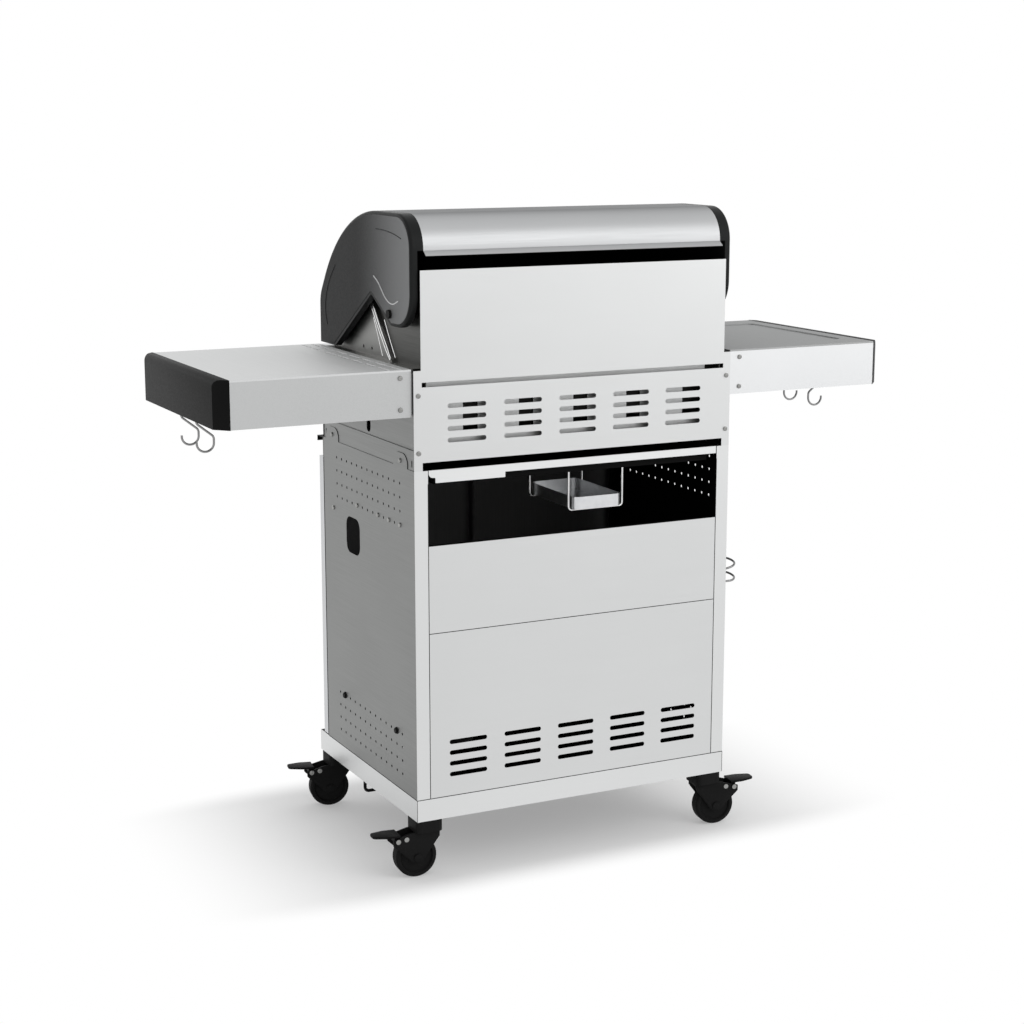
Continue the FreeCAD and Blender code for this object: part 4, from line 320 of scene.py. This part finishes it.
# Plated wire, aluminium, zinc and brass: small smooth metal with clear reflections.
# The bright wire's plating also lies on the spit beads, as a painted highlight.
bright_wire_and_bead_highlight = plated("bright_plated_wire", "#e8e8e8", "#c9c9c9", 0.18)
hook_wire = plated("grey_plated_hook_wire", "#9c9c9c", "#7a7a7a", 0.2)
aluminium = plated("pressed_aluminium", "#dfe0e1", "#c8c9cb", 0.3)
zinc = plated("zinc_plated_steel", "#a4a4a2", "#7c7c7a", 0.24)
brass = plated("dull_brass", "#c8a45c", "#a8823e", 0.34)
# Cooking side: rough iron and heat-blued tube; the lid's near-black lining is painted shade.
grate_iron = cast_iron("enamelled_cast_iron")
lid_lining_painted_shade = satin_coat("lid_lining_shade_coat", "#1b1a19", "#0e0d0d", 0.6, 6.0)
burner_steel = heat_tinted("heat_tinted_burner")
# Printed and painted marks: flat, even colour.
dial_enamel = satin_coat("pale_dial_enamel", "#f1f0ea", "#e8e6de", 0.35)
white_enamel = satin_coat("white_line_enamel", "#f4f4f2", "#e6e6e4", 0.4)
needle_red = satin_coat("red_needle_enamel", "#b3261e", "#9a1c16", 0.35)

FINISHES = {
    panel_steel: "control_panel lid_handle",
    base_steel: "base_panel",
    housing_sheet_painted_shade: "housing_side_right housing_side_left",
    near_shelf_painted_light: "shelf_right",
    far_shelf_painted_light: "shelf_left",
    side_sheet_painted_shade: "side_panel_right side_panel_left",
    rear_steel: "rear_panel_lower rear_panel_upper vent_panel firebox_rear_panel",
    door_steel["door_right"]: "door_right",
    door_steel["door_left"]: "door_left",
    lid_sheet_painted_shade: "lid_skin",
    tub_steel: "firebox_tub flame_tamers",
    tray_steel: "grease_tray",
    aluminium: "drip_cup",
    rim_and_crease_shade_enamel: "lid_cap_right lid_cap_left",
    black_powder: "front_beam cylinder_cradle castor_plates lid_pivot_bolts "
                  "castor_fork_1 castor_fork_2 castor_fork_3 castor_fork_4",
    black_plastic: "shelf_cap_right shelf_cap_left knob_1 knob_2 knob_3 igniter_button "
                   "brake_pedal_1 brake_pedal_2 brake_pedal_3 brake_pedal_4",
    wheel_rubber: "castor_wheel_1 castor_wheel_2 castor_wheel_3 castor_wheel_4",
    bright_wire_and_bead_highlight: "cup_holder warming_rack thermometer",
    hook_wire: "hook_1 hook_2 hook_3 hook_4 hose_spiral",
    zinc: "panel_screws door_hinge_pins",
    grate_iron: "cooking_grates",
    burner_steel: "burners",
    brass: "gas_manifold valve_stem_1 valve_stem_2 valve_stem_3",
}


def dress(piece, material):
    """Gives a piece one material all over."""
    piece.data.materials.clear()
    piece.data.materials.append(material)


for material, names in FINISHES.items():
    for name in names.split():
        dress(nodes[name], material)


def clear():
    """Leaves nothing selected."""
    bpy.ops.object.select_all(action="DESELECT")


def settle(name, material, body, angle=30):
    """Applies the active piece's place, smooths it, dresses it and lets it ride on its body."""
    piece = bpy.context.object
    bpy.ops.object.transform_apply(location=True, rotation=True, scale=True)
    bpy.ops.object.shade_smooth_by_angle(angle=math.radians(angle))
    piece.name = name
    piece.data.name = name
    dress(piece, material)
    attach(piece, body)
    return piece


def apply_modifier(kind, **settings):
    """Adds a modifier to the active piece and applies it."""
    modifier = bpy.context.object.modifiers.new(kind.lower(), kind)
    for name, value in settings.items():
        setattr(modifier, name, value)
    bpy.ops.object.modifier_apply(modifier=modifier.name)


def face_towards(at, facing):
    """Turns the active piece's Z to a direction and sets it at a point in millimetres."""
    piece = bpy.context.object
    piece.rotation_euler = Vector(facing).to_track_quat("Z", "Y").to_euler()
    piece.location = Vector(at) * MM


def turned(rings, sides=40):
    """A round piece raised ring by ring from a disc. Each ring is a radius and a height."""
    clear()
    radius, height = rings[0]
    bpy.ops.mesh.primitive_circle_add(vertices=sides, radius=radius * MM, fill_type="NGON")
    bpy.ops.object.mode_set(mode="EDIT")
    bpy.ops.mesh.select_all(action="SELECT")
    bpy.ops.transform.translate(value=(0, 0, height * MM))
    for next_radius, next_height in rings[1:]:
        rise = (0, 0, (next_height - height) * MM)
        bpy.ops.mesh.extrude_region_move(TRANSFORM_OT_translate={"value": rise})
        grow = next_radius / radius
        bpy.ops.transform.resize(value=(grow, grow, 1), center_override=(0, 0, 0))
        radius, height = next_radius, next_height
    bpy.ops.mesh.select_all(action="SELECT")
    bpy.ops.mesh.normals_make_consistent(inside=False)
    bpy.ops.object.mode_set(mode="OBJECT")


def ring(section):
    """A ring spun from a four-sided section. Each corner is a radius and a height."""
    clear()
    bpy.ops.mesh.primitive_plane_add(size=1)
    corners = bpy.context.object.data.vertices
    for corner, (radius, height) in zip((corners[0], corners[1], corners[3], corners[2]), section):
        corner.co = (radius * MM, 0, height * MM)
    bpy.ops.object.mode_set(mode="EDIT")
    bpy.ops.mesh.select_all(action="SELECT")
    bpy.ops.mesh.delete(type="ONLY_FACE")
    bpy.ops.mesh.select_all(action="SELECT")
    bpy.ops.mesh.spin(steps=48, angle=2 * math.pi, center=(0, 0, 0), axis=(0, 0, 1))
    bpy.ops.mesh.select_all(action="SELECT")
    bpy.ops.mesh.remove_doubles(threshold=0.01 * MM)
    bpy.ops.mesh.normals_make_consistent(inside=False)
    bpy.ops.object.mode_set(mode="OBJECT")


def bevelled_block(low, high, width):
    """A block between two corners in millimetres, with its edges broken."""
    clear()
    middle = [(a + b) / 2 * MM for a, b in zip(low, high)]
    size = [(b - a) * MM for a, b in zip(low, high)]
    bpy.ops.mesh.primitive_cube_add(size=1, location=middle, scale=size)
    bpy.ops.object.transform_apply(location=True, rotation=True, scale=True)
    apply_modifier("BEVEL", width=width * MM, segments=1)


def join(pieces):
    """Makes one piece of several."""
    clear()
    for piece in pieces:
        piece.select_set(True)
    bpy.context.view_layer.objects.active = pieces[0]
    bpy.ops.object.join()


def copy_of(name):
    """A merged copy of a solid's mesh, as the active piece in edit mode with all of it selected."""
    clear()
    source = nodes[name]
    piece = bpy.data.objects.new(name + "_shown", source.data.copy())
    bpy.context.collection.objects.link(piece)
    piece.select_set(True)
    bpy.context.view_layer.objects.active = piece
    bpy.ops.object.mode_set(mode="EDIT")
    bpy.ops.mesh.select_all(action="SELECT")
    bpy.ops.mesh.remove_doubles(threshold=0.002 * MM)
    bpy.ops.mesh.customdata_custom_splitnormals_clear()
    return piece


def softened(name, width, material, body):
    """Stands for a solid with its edges rounded, as pressed, cast or moulded edges are.

    The rounding's width is in millimetres. Edges are rounded where they are sharp.
    """
    flat, sharp, smooth = 2, 40, 35
    copy_of(name)
    bpy.ops.mesh.dissolve_limited(angle_limit=math.radians(flat))
    bpy.ops.object.mode_set(mode="OBJECT")
    apply_modifier("BEVEL", width=width * MM, segments=2, limit_method="ANGLE",
                   angle_limit=math.radians(sharp))
    piece = settle(name + "_shown", material, body, smooth)
    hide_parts(name)


def rounded_path(corners):
    """Points round a closed outline whose corners have radii, with arcs every few degrees."""
    points = []
    count, arc_step = len(corners), 5
    for i, (a, b, radius) in enumerate(corners):
        here = Vector((a, b))
        if not radius:
            points.append(here)
            continue
        back = (Vector(corners[i - 1][:2]) - here).normalized()
        ahead = (Vector(corners[(i + 1) % count][:2]) - here).normalized()
        half = back.angle(ahead) / 2
        inward = (back + ahead).normalized()
        middle = here + inward * (radius / math.sin(half))
        sweep = math.pi - 2 * half
        steps = max(3, int(math.degrees(sweep) / arc_step))
        first = here + back * (radius / math.tan(half)) - middle
        turn = 1 if back.cross(ahead) < 0 else -1
        for step in range(steps + 1):
            angle = turn * sweep * step / steps
            arm = Matrix.Rotation(angle, 2) @ first
            points.append(middle + arm)
    return points


def raised_plate(points, rise, edge):
    """A flat plate with a rounded border, drawn as a filled outline in Y and Z."""
    clear()
    bpy.ops.curve.primitive_bezier_circle_add(radius=1)
    piece = bpy.context.object
    shape = piece.data
    shape.splines.clear()
    line = shape.splines.new("POLY")
    line.points.add(len(points) - 1)
    for spot, point in zip(line.points, points):
        spot.co = (point[0] * MM, point[1] * MM, 0, 1)
    line.use_cyclic_u = True
    shape.dimensions = "2D"
    shape.fill_mode = "BOTH"
    shape.extrude = (rise - edge) * MM
    shape.bevel_depth = edge * MM
    shape.bevel_resolution = 3
    shape.offset = -edge * MM
    bpy.ops.object.convert(target="MESH")
    bpy.context.object.rotation_euler = Matrix(((0, 0, 1), (1, 0, 0), (0, 1, 0))).to_euler()


def mirrored(piece, name, body):
    """The same piece on the grill's other side, with a mesh of its own."""
    clear()
    twin = bpy.data.objects.new(name, piece.data.copy())
    bpy.context.collection.objects.link(twin)
    twin.select_set(True)
    bpy.context.view_layer.objects.active = twin
    twin.scale = (-1, 1, 1)
    bpy.ops.object.transform_apply(location=False, rotation=False, scale=True)
    bpy.ops.object.mode_set(mode="EDIT")
    bpy.ops.mesh.select_all(action="SELECT")
    bpy.ops.mesh.normals_make_consistent(inside=False)
    bpy.ops.object.mode_set(mode="OBJECT")
    twin.data.name = name
    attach(twin, body)


def bead(points, radius):
    """A rounded bead that runs smoothly through points in Y and Z, flat on a face that looks along X."""
    clear()
    bpy.ops.curve.primitive_bezier_curve_add(radius=1)
    shape = bpy.context.object.data
    shape.splines.clear()
    line = shape.splines.new("BEZIER")
    line.bezier_points.add(len(points) - 1)
    for spot, (y, z) in zip(line.bezier_points, points):
        spot.co = (0, y * MM, z * MM)
        spot.handle_left_type = spot.handle_right_type = "AUTO"
    shape.dimensions = "3D"
    shape.resolution_u = 10
    shape.bevel_depth = radius * MM
    shape.bevel_resolution = 3
    shape.use_fill_caps = True
    bpy.ops.object.convert(target="MESH")


def lid_end_fields():
    """The paler field pressed into each lid end, its charcoal paling towards the rear as a painted light, and
    the creases that sweep over it: one painted pale as a highlight, two painted dark as shade.
    """
    step, edge = 0.6, 0.5
    field = [
        (-169, 902.5, 0), (-169, 983, 44), (-57, 1142.5, 294), (238, 1142.5, 52), (238, 964, 54),
        (160, 964, 3), (73, 1012, 9), (-104, 902.5, 0),
    ]
    raised_plate(rounded_path(field), step, edge)
    bpy.context.object.location = (half_width, 0, 0)
    right = settle("lid_end_field_right", charcoal_enamel_painted_light, "lid")
    mirrored(right, "lid_end_field_left", "lid")
    # The pale crease is a painted highlight; the two dark ones are painted shade.
    creases = {
        "lid_crease_painted_highlight": (crease_painted_highlight, 1.2, [
            (87, 1038), (107, 1028), (122, 1016), (140, 1003), (166, 996), (192, 1003),
        ]),
        "lid_brow_crease_painted_shade": (rim_and_crease_shade_enamel, 0.9, [
            (99, 1118.5), (129, 1118), (166, 1115), (188, 1111.5), (206, 1107.5),
        ]),
        "lid_front_crease_painted_shade": (rim_and_crease_shade_enamel, 0.7, [
            (-92, 1045), (-124, 1012), (-141, 979), (-142, 954), (-135, 934),
        ]),
    }
    for name, (coat, radius, points) in creases.items():
        bead(points, radius)
        bpy.context.object.location = (half_width + step * MM, 0, 0)
        right = settle(f"{name}_right", coat, "lid")
        mirrored(right, f"{name}_left", "lid")


def spit_beads():
    """Bright rolled edges round the fold behind each spit plate, and a pressed line on either side, plated
    brighter than the firebox as a painted highlight.
    """
    fold_face, plate_face, wall_face = 295.0, 290.2, 288.4
    fold_top, fold_foot, fold_run = 995.0, 892.0, 89.0
    top, foot, waist, bead_radius = 992.0, 895.0, 45.0, 1.0
    slope = fold_run / (fold_top - fold_foot)
    near, far = 27.5, 37.0
    low_y = near + (fold_top - foot) * slope
    lines = {
        fold_face: [
            (near + 2, top), (near + waist * slope, top - waist), (low_y, foot + 4), (low_y + 6, foot + 1),
            (far + 2 * waist * slope, foot + 10), (far + waist * slope, top - waist), (far + 2, top),
        ],
        plate_face: [(36, 961), (48.5, 941.5), (61, 920), (74, 897.5)],
        wall_face: [(80, 961), (102, 930.5), (126, 900)],
    }
    beads = []
    for face, points in lines.items():
        bead(points, bead_radius)
        bpy.context.object.location = (face * MM, 0, 0)
        bpy.ops.object.transform_apply(location=True, rotation=True, scale=True)
        beads.append(bpy.context.object)
    join(beads)
    # The beads' bright plating is a painted highlight along the fold's edges.
    right = settle("spit_bead_right", bright_wire_and_bead_highlight, "cart")
    mirrored(right, "spit_bead_left", "cart")


def heat_shield():
    """Galvanised plate behind the vent slots, pale as painted light, with an opening below each slot column.
    """
    back, front, low, high = 231.6, 230.2, 748.0, 880.0
    left_end, right_end = -268, 286
    opening_low, opening_high, past = 782, 836, 5
    bevelled_block((left_end, front, low), (right_end, back, high), 0.3)
    plate = bpy.context.object
    for left, right in ((-262, -222), (-135, -107), (-29, -1), (77, 105), (183, 211)):
        bevelled_block((left, front - past, opening_low), (right, back + past, opening_high), 1.0)
        cutter = bpy.context.object
        clear()
        plate.select_set(True)
        bpy.context.view_layer.objects.active = plate
        apply_modifier("BOOLEAN", object=cutter, operation="DIFFERENCE")
        bpy.data.objects.remove(cutter)
    settle("heat_shield", shield_painted_light, "cart")


def side_bolts():
    """Two black bolt heads low on the right side panel, where the cylinder's strap is fixed."""
    side_face, height = 310, 247.6
    bolts = []
    for y in (163.3, -78.7):
        turned([(6.4, -0.2), (6.4, 0.6), (5.4, 1.0), (5.4, 2.8), (4.4, 3.8)], 32)
        face_towards((side_face, y, height), (1, 0, 0))
        bpy.ops.object.transform_apply(location=True, rotation=True, scale=True)
        bolts.append(bpy.context.object)
    join(bolts)
    settle("side_bolts", black_powder, "cart")


def base_seams():
    """The dark joints of the base: along its upper edge, down its rear corners and at the rear panels."""
    half_line, depth, broken = 0.6, 0.35, 0.1
    level, front, rear, half = 144.4, -166.0, 250.5, 310.0
    base_foot, panel_joint, panel_top, post = 105.5, 439.2, 700.0, 285.0
    inner, outer = rear - depth, rear + depth
    strips = [
        ((-half, inner, level - half_line), (half, outer, level + half_line)),
        ((-post, inner, panel_joint - half_line), (post, outer, panel_joint + half_line)),
    ]
    for side in (-1, 1):
        near, far = sorted((side * (half - depth), side * (half + depth)))
        edge = side * post
        strips += [
            ((near, front, level - half_line), (far, rear, level + half_line)),
            ((near, inner, base_foot), (far, outer, level)),
            ((edge - half_line, inner, level), (edge + half_line, outer, panel_top)),
        ]
    made = []
    for low, high in strips:
        bevelled_block(low, high, broken)
        made.append(bpy.context.object)
    join(made)
    settle("base_seams", black_powder, "cart")


def lid_lining():
    """The inner face of the lid, a dull dark skin just inside the steel: painted shade."""
    piece = copy_of("lid_skin")
    bpy.ops.mesh.select_all(action="DESELECT")
    bpy.ops.object.mode_set(mode="OBJECT")
    heart = Vector((0, 40, 990)) * MM
    lip_edge, smallest_face, clear_of_steel = 253.9 * MM, 20 * MM * MM, 0.3 * MM
    for face in piece.data.polygons:
        towards = heart - face.center
        towards.x = 0
        upright = abs(face.normal.x) < 0.5
        facing_in = face.normal.dot(towards.normalized()) > 0.25
        face.select = upright and facing_in and face.area > smallest_face
    bpy.ops.object.mode_set(mode="EDIT")
    bpy.ops.mesh.select_all(action="INVERT")
    bpy.ops.mesh.delete(type="FACE")
    bpy.ops.mesh.select_all(action="SELECT")
    bpy.ops.transform.shrink_fatten(value=clear_of_steel)
    bpy.ops.object.mode_set(mode="OBJECT")
    for corner in piece.data.vertices:
        corner.co.y = min(corner.co.y, lip_edge)
    settle("lid_lining", lid_lining_painted_shade, "lid")


def thermometer_face():
    """Bright bezel, pale dial with plain marks, and a needle, on the lid's top bend."""
    lean = math.radians(45)
    facing = Vector((0, -math.cos(lean), math.sin(lean)))
    bend_middle, bend_radius = Vector((0, 95.7, 848.5)), 300
    seat = bend_middle + facing * bend_radius
    front, mark_end, mark_half, needle_half = 12.0, 26.5, 0.5, 0.9
    ring([(29.6, front), (34.4, front - 3), (34.4, front + 1), (31.6, front + 2.6)])
    face_towards(seat, facing)
    settle("thermometer_bezel", bright_wire_and_bead_highlight, "lid")
    turned([(29.9, front + 0.05), (29.9, front + 0.3), (29.4, front + 0.5)])
    face_towards(seat, facing)
    settle("thermometer_dial", dial_enamel, "lid")
    marks = []
    count, sweep = 21, math.radians(260)
    for i in range(count):
        length = 5.0 if i % 4 == 0 else 3.0
        bevelled_block((-mark_half, mark_end - length, front + 0.5), (mark_half, mark_end, front + 0.75), 0.1)
        mark = bpy.context.object
        mark.rotation_euler = (0, 0, sweep / 2 - sweep * i / (count - 1))
        bpy.ops.object.transform_apply(location=False, rotation=True, scale=False)
        marks.append(mark)
    join(marks)
    face_towards(seat, facing)
    settle("thermometer_marks", black_plastic, "lid")
    bevelled_block((-needle_half, -6, front + 0.9), (needle_half, 21, front + 1.4), 0.2)
    needle = bpy.context.object
    needle.rotation_euler = (0, 0, sweep / 2)
    bpy.ops.object.transform_apply(location=False, rotation=True, scale=False)
    turned([(3.4, front + 0.6), (3.4, front + 1.6), (2.2, front + 2.2)], 24)
    join([needle, bpy.context.object])
    face_towards(seat, facing)
    settle("thermometer_needle", needle_red, "lid")


def control_trim():
    """A thin bright ring behind each knob and the igniter, and a pointer line on each knob.

    The knob rings leave room for the knobs, which are pushed in by 4 mm.
    """
    front, knob_front, height, forward = -222.0, -253.0, 824.0, (0, -1, 0)
    igniter_x, line_half = -255, 0.9
    for i, x in ((1, -170), (2, 0), (3, 170)):
        ring([(7.5, 0), (30, 0), (29.2, 0.8), (7.5, 0.8)])
        face_towards((x, front, height), forward)
        settle(f"knob_ring_{i}", zinc, "cart")
        bevelled_block((x - line_half, knob_front - 0.5, height + 6),
                       (x + line_half, knob_front, height + 17.5), 0.15)
        settle(f"knob_line_{i}", white_enamel, f"knob_{i}")
    ring([(10.6, 0), (15, 0), (14, 2.0), (10.9, 2.0)])
    face_towards((igniter_x, front, height), forward)
    settle("igniter_ring", zinc, "cart")


def handle_ends():
    """Moulded caps on the lid handle's ends and dark collars under its posts."""
    bar_end, bar_y, post_x, lid_front, height = 240, -242, 190, -175, 950
    for side, name in ((1, "right"), (-1, "left")):
        turned([(11.8, -2), (11.8, 4), (10.6, 7), (7.5, 8.5)])
        face_towards((side * bar_end, bar_y, height), (side, 0, 0))
        settle(f"handle_end_{name}", black_plastic, "lid")
        turned([(17, 0), (17, 1.6), (15.4, 2.6)])
        face_towards((side * post_x, lid_front, height), (0, -1, 0))
        settle(f"handle_collar_{name}", black_plastic, "lid")


# Each castor's place across and along the grill in millimetres, and its heading in degrees.
CASTORS = {1: (285, 225, -4), 2: (285, -185, -10), 3: (-285, 225, 172), 4: (-285, -185, 188)}


def castor_rivets():
    """Two flat silver rivets on each cheek of a castor's fork."""
    for number, (x, y, heading) in CASTORS.items():
        heads = []
        for along, up, out in ((56, 71.5, 20.5), (40, 73, 18)):
            for side in (-1, 1):
                turned([(4.4, -0.2), (4.4, 0.1), (3.4, 0.3), (1.6, 0.4)], 24)
                face_towards((along, side * out, up), (0, side, 0))
                bpy.ops.object.transform_apply(location=True, rotation=True, scale=True)
                heads.append(bpy.context.object)
        join(heads)
        whole = bpy.context.object
        whole.location = (x * MM, y * MM, 0)
        whole.rotation_euler = (0, 0, math.radians(heading))
        settle(f"castor_rivets_{number}", zinc, f"castor_{number}")


def softened_pieces():
    """Pieces whose real edges are rounded by casting, moulding or pressing."""
    softened("shelf_cap_right", 1.6, black_plastic, "cart")
    softened("shelf_cap_left", 1.6, black_plastic, "cart")
    softened("cooking_grates", 1.4, grate_iron, "cart")
    softened("castor_plates", 1.5, black_powder, "cart")
    softened("igniter_button", 1.0, black_plastic, "igniter")
    for i in (1, 2, 3):
        softened(f"knob_{i}", 1.0, black_plastic, f"knob_{i}")
    for i in CASTORS:
        softened(f"castor_fork_{i}", 0.6, black_powder, f"castor_{i}")
        softened(f"brake_pedal_{i}", 1.0, black_plastic, f"pedal_{i}")


lid_end_fields()
spit_beads()
heat_shield()
side_bolts()
base_seams()
lid_lining()
thermometer_face()
control_trim()
handle_ends()
castor_rivets()
softened_pieces()


def backdrop_rays(tree):
    """One for the rays that see the backdrop: the camera's, and those off metal or through glass."""
    rays = add(tree, "ShaderNodeLightPath").outputs
    mirrored_too = add(tree, "ShaderNodeMath", {0: rays["Is Camera Ray"], 1: rays["Is Glossy Ray"]},
                       operation="MAXIMUM").outputs[0]
    return add(tree, "ShaderNodeMath", {0: mirrored_too, 1: rays["Is Transmission Ray"]},
               operation="MAXIMUM").outputs[0]


def studio():
    """Pale floor that fades to white, white surroundings, and soft light from behind and in front.

    The floor keeps its shade near the base and fades sooner behind the grill than beside it.
    """
    floor_size, fade_length, least_lift, sooner_behind = 60.0, 0.42, 0.3, (1, 4, 1)
    full_white = (1, 1, 1, 1)
    clear()
    bpy.ops.mesh.primitive_plane_add(size=floor_size)
    floor = bpy.context.object
    floor.name = "floor"
    material, tree, place = blank("pale_floor")
    quarter = add(tree, "ShaderNodeVectorMath", {0: place}, operation="ABSOLUTE").outputs["Vector"]
    past = add(tree, "ShaderNodeVectorMath", {0: quarter, 1: (half_width, rear_face, 0)},
               operation="SUBTRACT").outputs["Vector"]
    outside = add(tree, "ShaderNodeVectorMath", {0: past, 1: (0, 0, 0)},
                  operation="MAXIMUM").outputs["Vector"]
    scaled = add(tree, "ShaderNodeVectorMath", {0: outside, 1: sooner_behind},
                 operation="MULTIPLY").outputs["Vector"]
    distance = add(tree, "ShaderNodeVectorMath", {0: scaled}, operation="LENGTH").outputs["Value"]
    fade = add(tree, "ShaderNodeMapRange", {
        "Value": distance, "From Min": 0.0, "From Max": fade_length, "To Min": least_lift, "To Max": 1.0,
    }, interpolation_type="SMOOTHSTEP").outputs["Result"]
    lift = add(tree, "ShaderNodeMath", {0: backdrop_rays(tree), 1: fade}, operation="MULTIPLY").outputs[0]
    matt = add(tree, "ShaderNodeBsdfDiffuse", {"Color": colour("#f4f4f4")}).outputs["BSDF"]
    glow = add(tree, "ShaderNodeEmission", {"Color": full_white, "Strength": 1.0}).outputs["Emission"]
    mixed = add(tree, "ShaderNodeMixShader", {"Fac": lift, 1: matt, 2: glow}).outputs["Shader"]
    add(tree, "ShaderNodeOutputMaterial", {"Surface": mixed})
    dress(floor, material)

    world = bpy.data.worlds.new("studio")
    bpy.context.scene.world = world
    world.use_nodes = True
    tree = world.node_tree
    tree.nodes.clear()
    facing = add(tree, "ShaderNodeSeparateXYZ", {
        "Vector": add(tree, "ShaderNodeTexCoord").outputs["Generated"],
    })
    # The surroundings give less light to the grill's right side, which is the darker one.
    left_light, right_light = 0.8, 0.3
    side = add(tree, "ShaderNodeMapRange", {
        "Value": facing.outputs["X"], "From Min": -0.2, "From Max": 0.95,
        "To Min": left_light, "To Max": right_light,
    }).outputs["Result"]
    light = add(tree, "ShaderNodeBackground", {"Color": full_white, "Strength": side}).outputs["Background"]
    white = add(tree, "ShaderNodeBackground", {"Color": full_white, "Strength": 1.0}).outputs["Background"]
    mixed = add(tree, "ShaderNodeMixShader", {
        "Fac": backdrop_rays(tree), 1: light, 2: white,
    }).outputs["Shader"]
    add(tree, "ShaderNodeOutputWorld", {"Surface": mixed})

    aim = Vector((0, 0, 0.6))
    for name, at, size, power in (
        ("rear_softbox", (-1.4, 3.2, 2.6), 2.4, 20.0),
        ("low_softbox", (-2.6, 2.8, 1.4), 1.6, 7.0),
        ("front_softbox", (2.6, -2.6, 2.2), 2.0, 12.0),
    ):
        bpy.ops.object.light_add(type="AREA", location=at)
        lamp = bpy.context.object
        lamp.name = name
        lamp.data.size = size
        lamp.data.energy = power
        lamp.rotation_euler = (aim - Vector(at)).to_track_quat("-Z", "Y").to_euler()


def camera():
    """The photograph's camera: behind the grill, to its right, a little above the lid."""
    yaw, pitch = math.radians(26.474), math.radians(11.343)
    view = Vector((-math.sin(yaw) * math.cos(pitch), -math.cos(yaw) * math.cos(pitch), -math.sin(pitch)))
    right = Vector((-math.cos(yaw), math.sin(yaw), 0))
    up = right.cross(view)
    bpy.ops.object.camera_add(location=(1.6351, 3.2780, 1.3167))
    made = bpy.context.object
    made.rotation_euler = Matrix((right, up, -view)).transposed().to_euler()
    made.data.sensor_width = 36.0
    made.data.lens = 70.48
    bpy.context.scene.camera = made


studio()
camera()
bpy.context.scene.view_settings.view_transform = "Standard"
